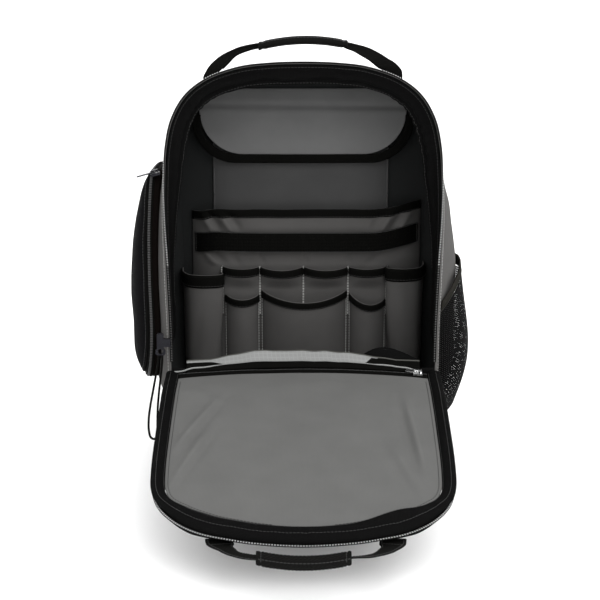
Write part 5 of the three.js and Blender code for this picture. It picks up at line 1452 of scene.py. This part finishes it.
class BACKPACK_OT_small_pockets(bpy.types.Operator):
    """Sew the two rows of small pockets with their bound mouths"""
    bl_idname = "backpack.small_pockets"
    bl_label = "Small pockets"

    def execute(self, context):
        upper = {}
        for row in UPPER_POUCHES:
            skin = pouch_skin(row, UPPER_FOOT, 1, lambda v, z: ease(z, 156, 178))
            upper[row.name] = skin
            sew_pouch(row.name, skin, 50, 200)
        # One tape edges the whole row and is tacked down between the pockets
        piece = Piece()
        for row in UPPER_POUCHES:
            height = UPPER_TOP - UPPER_FOOT
            inset = 1 - UPPER_BINDING / height

            def binding(u, v, skin=upper[row.name], inset=inset):
                crown = 0.9 * domed(v)
                return over(skin, u, lerp(inset, 1.0, v), LAY + 0.3 + crown)

            piece.cloth(binding, edged(-0.008, 1.008, 40, 0.01), shares(9), TAPE)
            piece.seam(binding, shares(300, 0.03, 0.97), 0.16)
            for u in (0.012, 0.988):
                piece.seam(binding, u, shares(60, 0.04, 0.96), **TACK, finish=2)
        piece.sew("upper_pocket_tape", ["tape", "black_thread", "thread"], ["upper_pocket_binding"])

        for row in LOWER_POUCHES:
            skin = pouch_skin(row, POCKET_FOOT, 2, lambda v, z: lerp(0.55, 1, v**0.7))
            sew_pouch(row.name, skin, 80, 300)
            inset = 1 - LOWER_BINDING / (row.top - POCKET_FOOT)
            tape_over(skin, inset, row.name.replace("pocket", "binding"), edged(0, 1, 44, 0.01))
        return {"FINISHED"}


class BACKPACK_OT_corner_pockets(bpy.types.Operator):
    """Sew the tapered pockets in the two rear corners"""
    bl_idname = "backpack.corner_pockets"
    bl_label = "Corner pockets"

    def execute(self, context):
        for name, (side, _, lift) in SIDES.items():
            skin = corner_skin(name)
            piece = Piece()
            piece.cloth(skin, edged(0, 1, 70, 0.006), edged(0, 1, 70))
            line = shares(300, 0.02, 0.98)
            piece.seam(skin, 0.985 if side < 0 else 0.015, line, **POCKET_STITCH)
            piece.sew(f"wall_pocket_{name}_cloth", ["pocket", "black_thread"],
                      [f"wall_pocket_{name}"])
            inset = 1 - WALL_POCKET_BAND / (WALL_POCKET_TOP + lift - POCKET_FOOT - 4)
            tape_over(skin, inset, f"wall_pocket_band_{name}", shares(70, 0.06, 0.94))
        return {"FINISHED"}


class BACKPACK_OT_zipped_side_pocket(bpy.types.Operator):
    """Sew the box pocket on the left side with its zip"""
    bl_idname = "backpack.zipped_side_pocket"
    bl_label = "Zipped side pocket"

    def execute(self, context):
        turns = np.linspace(0, 1, 241)[:-1]
        edge = [1, 0.998, 0.994, 0.987, 0.978, 0.966, 0.952, 0.935, 0.91, 0.88]
        rings = np.concatenate([edge, np.linspace(0.84, 0.03, 34)])
        turn, r = np.meshgrid(turns, rings, indexing="ij")
        face = left_pocket(turn, r)
        ahead, behind = left_pocket(turn + STEP, r), left_pocket(turn - STEP, r)
        inner, outer = left_pocket(turn, np.maximum(r - STEP, 0)), left_pocket(turn, np.minimum(r + STEP, 1))
        normals = unit(np.cross(ahead - behind, outer - inner))
        rows, around = len(rings), len(turns)
        points, normals = face.transpose(1, 0, 2), normals.transpose(1, 0, 2)
        metres = grid_metres(np.concatenate([points, points[:, :1]], 1))[:, :-1]
        faces = grid_faces(rows, around, wrap=True)
        piece = Piece()
        lid = [(rows - 1) * around + k for k in range(around)]
        piece.thick(points, normals, faces, CLOTH, metres, lid=lid)
        line = shares(800, 0.0, 0.78)
        piece.studs(left_pocket(line, 0.9), normal_of(left_pocket, line, 0.9), 4.2, (3.0, 0.7, 0.5), 1)
        # Piping beside the zip
        piece.tube(left_pocket(shares(300, 0, 1), 0.925), 1.2, 8, 2)
        finishes = ["outer", "black_thread", "tape", "gusset"]
        obj = piece.make("side_pocket_shell", finishes, ["left_pocket_shell"])
        ring_of = np.arange(len(faces)) // around
        marks = np.array(piece.finishes)
        for block in (0, len(faces)):
            marks[block : block + len(faces)] = np.where(ring_of < 6, 3, 0)
        obj.data.polygons.foreach_set("material_index", marks)

        def tape(turn, r):
            return left_pocket(turn, r) + normal_of(left_pocket, turn, r) * 1.5

        piece = Piece()
        piece.cloth(tape, shares(260, 0.0, 0.72), shares(7, 0.945, 0.985), TAPE)
        line = shares(700, 0.004, 0.716)
        piece.studs(tape(line, np.full(700, 0.966)), normal_of(tape, line, 0.966), 2.2, (1.1, 3.4, 0.9), 1)
        piece.sew("side_pocket_zip", ["tape", "small_teeth"], ["left_pocket_zip"])
        return {"FINISHED"}


class BACKPACK_OT_net_pocket(bpy.types.Operator):
    """Knit the open net pocket on the right side, with its hem"""
    bl_idname = "backpack.net_pocket"
    bl_label = "Net pocket"

    def execute(self, context):
        hem_share = 1 - HEM_HEIGHT / HEM_TOP
        cell = context.scene.backpack_sizes.net_cell / MM
        across, up = int(182 / cell), int(196 / cell)

        def cords(count, high):
            starts = np.arange(count) / count
            return np.sort(np.concatenate([starts, starts + NET_BAR / count, [1.0]])) * high

        us, vs = cords(across, 1.0), cords(up, hem_share - 0.004)
        u, v = np.meshgrid(us, vs, indexing="ij")
        # Every second row of holes is moved by half a cell, as in a knit
        row = np.minimum(np.arange(len(vs)) // 2, up - 1)
        u = np.clip(u + np.where(row % 2 == 1, 0.5 / across, 0)[None] * (u > 0.01) * (u < 0.985), 0, 1)
        points = net_skin(u, v)
        faces = grid_faces(len(us), len(vs)).reshape(len(us) - 1, len(vs) - 1, 4)
        i, j = np.meshgrid(np.arange(len(us) - 1), np.arange(len(vs) - 1), indexing="ij")
        keep = ~((i % 2 == 1) & (j % 2 == 1))
        piece = Piece()
        piece.thick(points, grid_normals(points), faces[keep], NET_CORD, grid_metres(points), soft=0.45)
        obj = piece.make("net_pocket_knit", ["net"], ["net_pocket_panel"])

        def hem(u, v):
            crown = 0.8 * domed((v - hem_share) / (1 - hem_share))
            return over(net_skin, u, v, 0.5 + crown + 0.3 * drift(vec(u * 200, v * 200, 0), 14, 81))

        piece = Piece()
        piece.cloth(hem, shares(120), shares(11, hem_share, 1.0), 2.4, soft=0.4)
        piece.seam(hem, shares(400, 0.01, 0.99), hem_share + 0.008)
        piece.sew("net_pocket_hem_band", ["hem", "black_thread"], ["net_pocket_hem"])
        return {"FINISHED"}


class BACKPACK_OT_handles(bpy.types.Operator):
    """Make the top handle and the flap's handle: webbing ends and rolled grips"""
    bl_idname = "backpack.handles"
    bl_label = "Handles"

    def execute(self, context):
        for place, table in (("top", TOP_HANDLE), ("front", FRONT_HANDLE)):
            for name, rows in table.items():
                strap = strap_skin(rows)

                def skin(u, v, strap=strap, rows=rows):
                    edge = 0.25 * domed(v, 6)
                    tuck = 0.9 * np.sin(np.pi * v) * ease(u, 0.55, 1)
                    inward = vec(-np.sign(rows[-1].x) * 2.5 * ease(u, 0.93, 1), 0, 0)
                    return over(strap, u, v, WEBBING_THICK / 2 - 0.25 + edge + tuck) + inward

                piece = Piece()
                piece.cloth(skin, shares(80), shares(21), WEBBING_THICK)
                for v in (0.1, 0.9):
                    piece.seam(skin, shares(200, 0.02, 0.98), v, **WEB_STITCH)
                for u in (0.05, 0.3):
                    piece.seam(skin, u, shares(60, 0.12, 0.88), **BOX_STITCH)
                piece.sew(f"{place}_webbing_{name}", ["webbing", "black_thread"],
                          [f"{place}_handle_webbing_{name}"])

        grips = [("top", lambda t: vec(t * 56.7, 0, 501 - 7 * t * t + t), 13, 5.5, -0.1),
                 ("front", lambda t: vec(t * 52, -504 + 13 * t * t, 6.4 + 0.6 * t * t), 10, 5.8, 0.1)]
        for place, centre, deep, high, tilt in grips:
            t = np.concatenate([[-1, -0.995], np.linspace(-0.98, 0.98, 90), [0.995, 1]])
            turn = np.linspace(0, 2 * np.pi, 48, endpoint=False)
            fade = np.where(np.abs(t) > 0.997, 0.86, np.where(np.abs(t) > 0.99, 0.95, 1))[:, None]
            fold = 1 + 0.02 * drift(vec(t * 60, 0, 0), 6, 91)[:, None]
            y = deep * fade * fold * round_share(np.cos(turn), 0.7)[None]
            z = high * fade * fold * round_share(np.sin(turn), 0.7)[None]
            z = z * (1 - 0.16 * hump(np.abs(t)[:, None] - 0.9, 0.03))
            offset = vec(0, y * np.cos(tilt) - z * np.sin(tilt), y * np.sin(tilt) + z * np.cos(tilt))
            rings = centre(t)[:, None] + offset
            piece = Piece()
            piece.loft(rings)
            for k in (5, 19, 29, 43):
                path = rings[3:-3, k]
                piece.studs(path, unit(path - centre(t)[3:-3]), 4.2, (3.0, 0.8, 0.5), 1)
            for end in (6, -7):
                path = rings[end, np.arange(2, 23)]
                piece.studs(path, unit(path - centre(t)[end]), 3.2, (2.4, 0.8, 0.5), 1)
            node = f"{place}_handle_grip"
            obj = piece.make(f"{place}_grip_rolled", ["webbing", "black_thread"], [node])
        return {"FINISHED"}


# The shoulder pads' cloth simulation: mesh size in millimetres, air pressure, and how long it runs
VOXEL, PRESSURE, MOMENTS = 4.5, 4, 20


def inflate(obj, most):
    """Swells a padded piece by cloth simulation, and lets no point move further than most."""
    remesh = obj.modifiers.new("remesh", "REMESH")
    remesh.mode, remesh.voxel_size = "VOXEL", VOXEL * MM
    apply_all(obj)
    start = np.empty(len(obj.data.vertices) * 3)
    obj.data.vertices.foreach_get("co", start)
    cloth = obj.modifiers.new("cloth", "CLOTH")
    cloth.settings.use_pressure = True
    cloth.settings.uniform_pressure_force = PRESSURE
    cloth.settings.effector_weights.gravity = 0
    cloth.settings.quality = 5
    cloth.point_cache.frame_start, cloth.point_cache.frame_end = 1, MOMENTS
    for moment in range(1, MOMENTS + 1):
        bpy.context.scene.frame_set(moment)
    apply_all(obj)
    bpy.context.scene.frame_set(1)
    end = np.empty(len(obj.data.vertices) * 3)
    obj.data.vertices.foreach_get("co", end)
    move = (end - start).reshape(-1, 3)
    far = np.linalg.norm(move, axis=1, keepdims=True).clip(1e-9)
    move *= np.minimum(1, most * MM / far)
    obj.data.vertices.foreach_set("co", (start.reshape(-1, 3) + move).ravel())
    obj.data.update()


def apply_all(obj):
    shown = obj.evaluated_get(bpy.context.evaluated_depsgraph_get())
    mesh = bpy.data.meshes.new_from_object(shown)
    keep = list(obj.data.materials)
    obj.modifiers.clear()
    obj.data = mesh
    mesh.materials.clear()
    for material in keep:
        mesh.materials.append(material)
    mesh.polygons.foreach_set("use_smooth", [True] * len(mesh.polygons))


class BACKPACK_OT_straps(bpy.types.Operator):
    """Make the two padded shoulder straps with their webbing and buckles"""
    bl_idname = "backpack.straps"
    bl_label = "Shoulder straps"

    def execute(self, context):
        for side, name in ((-1, "left"), (1, "right")):
            turned = lambda rows: [r._replace(x=side * r.x, az=side * r.az, y=r.y + GAP) for r in rows]
            pad = strap_skin(turned(STRAP_ROWS))

            def swell_of(u, v):
                run = np.sin(np.pi * np.clip(u, 0.06, 0.94)) ** 0.4
                return lerp(0.25, 1, edge_shape(v, 4)) * STRAP_THICK * lerp(0.4, 1, run)

            outer = lambda u, v: pad(u, 1 - v) + vec(0, swell_of(u, v) - 0.4, 0)
            piece = Piece()
            piece.cloth(outer, shares(70), shares(20), lambda u, v: swell_of(u, v) - 0.4)
            node = f"shoulder_strap_{name}"
            obj = piece.make(node + "_pad", ["airmesh"], [node])
            inflate(obj, 1.2)
            edge = Piece()
            for v in (0.07, 0.93):
                edge.seam(lambda u, w: outer(u, w) + (0, 0.9, 0), shares(300, 0.03, 0.97), v)
            edge_obj = edge.make(node + "_stitches", ["thread", "thread"])
            edge_obj.parent = obj

            web = strap_skin(turned(STRAP_WEBBING_ROWS))
            piece = Piece()
            piece.cloth(web, shares(80), shares(17), WEBBING_THICK)
            piece.sew(f"strap_webbing_{name}_woven", ["webbing"], [f"strap_webbing_{name}"])
            dress(f"strap_buckle_{name}", "acetal", 0.8)
        return {"FINISHED"}


class BACKPACK_OT_hardware(bpy.types.Operator):
    """Plate the sliders and pulls"""
    bl_idname = "backpack.hardware"
    bl_label = "Sliders and pulls"

    def execute(self, context):
        for node in ("flap_pocket_slider", "flap_pocket_pull"):
            dress(node, "nickel", 0.35)
        for node in ("left_pocket_slider", "left_pocket_pull", "main_slider"):
            dress(node, "black_nickel", 0.35)
        return {"FINISHED"}


OPERATORS = [
    BACKPACK_OT_stage, BACKPACK_OT_cord, BACKPACK_OT_shell, BACKPACK_OT_rim, BACKPACK_OT_flap,
    BACKPACK_OT_fold_lining, BACKPACK_OT_document_sleeve, BACKPACK_OT_wide_pocket,
    BACKPACK_OT_small_pockets, BACKPACK_OT_corner_pockets, BACKPACK_OT_zipped_side_pocket,
    BACKPACK_OT_net_pocket, BACKPACK_OT_handles, BACKPACK_OT_straps, BACKPACK_OT_hardware,
]


class BACKPACK_PT_panel(bpy.types.Panel):
    """Lists the steps that build the backpack"""
    bl_idname = "BACKPACK_PT_panel"
    bl_label = "Tool backpack"
    bl_space_type = "VIEW_3D"
    bl_region_type = "UI"
    bl_category = "Backpack"

    def draw(self, context):
        for group in (context.scene.backpack_sizes, context.scene.backpack_colours):
            for name in group.bl_rna.properties.keys():
                if name not in ("rna_type", "name"):
                    self.layout.prop(group, name)
        for operator in OPERATORS:
            self.layout.operator(operator.bl_idname)


CLASSES = [BackpackSizes, BackpackColours, *OPERATORS, BACKPACK_PT_panel]


def register():
    for each in CLASSES:
        bpy.utils.register_class(each)
    bpy.types.Scene.backpack_sizes = PointerProperty(type=BackpackSizes)
    bpy.types.Scene.backpack_colours = PointerProperty(type=BackpackColours)


def unregister():
    del bpy.types.Scene.backpack_colours
    del bpy.types.Scene.backpack_sizes
    for each in reversed(CLASSES):
        bpy.utils.unregister_class(each)


def main():
    register()
    for operator in OPERATORS:
        group, name = operator.bl_idname.split(".")
        getattr(getattr(bpy.ops, group), name)()


if __name__ == "__main__":
    main()
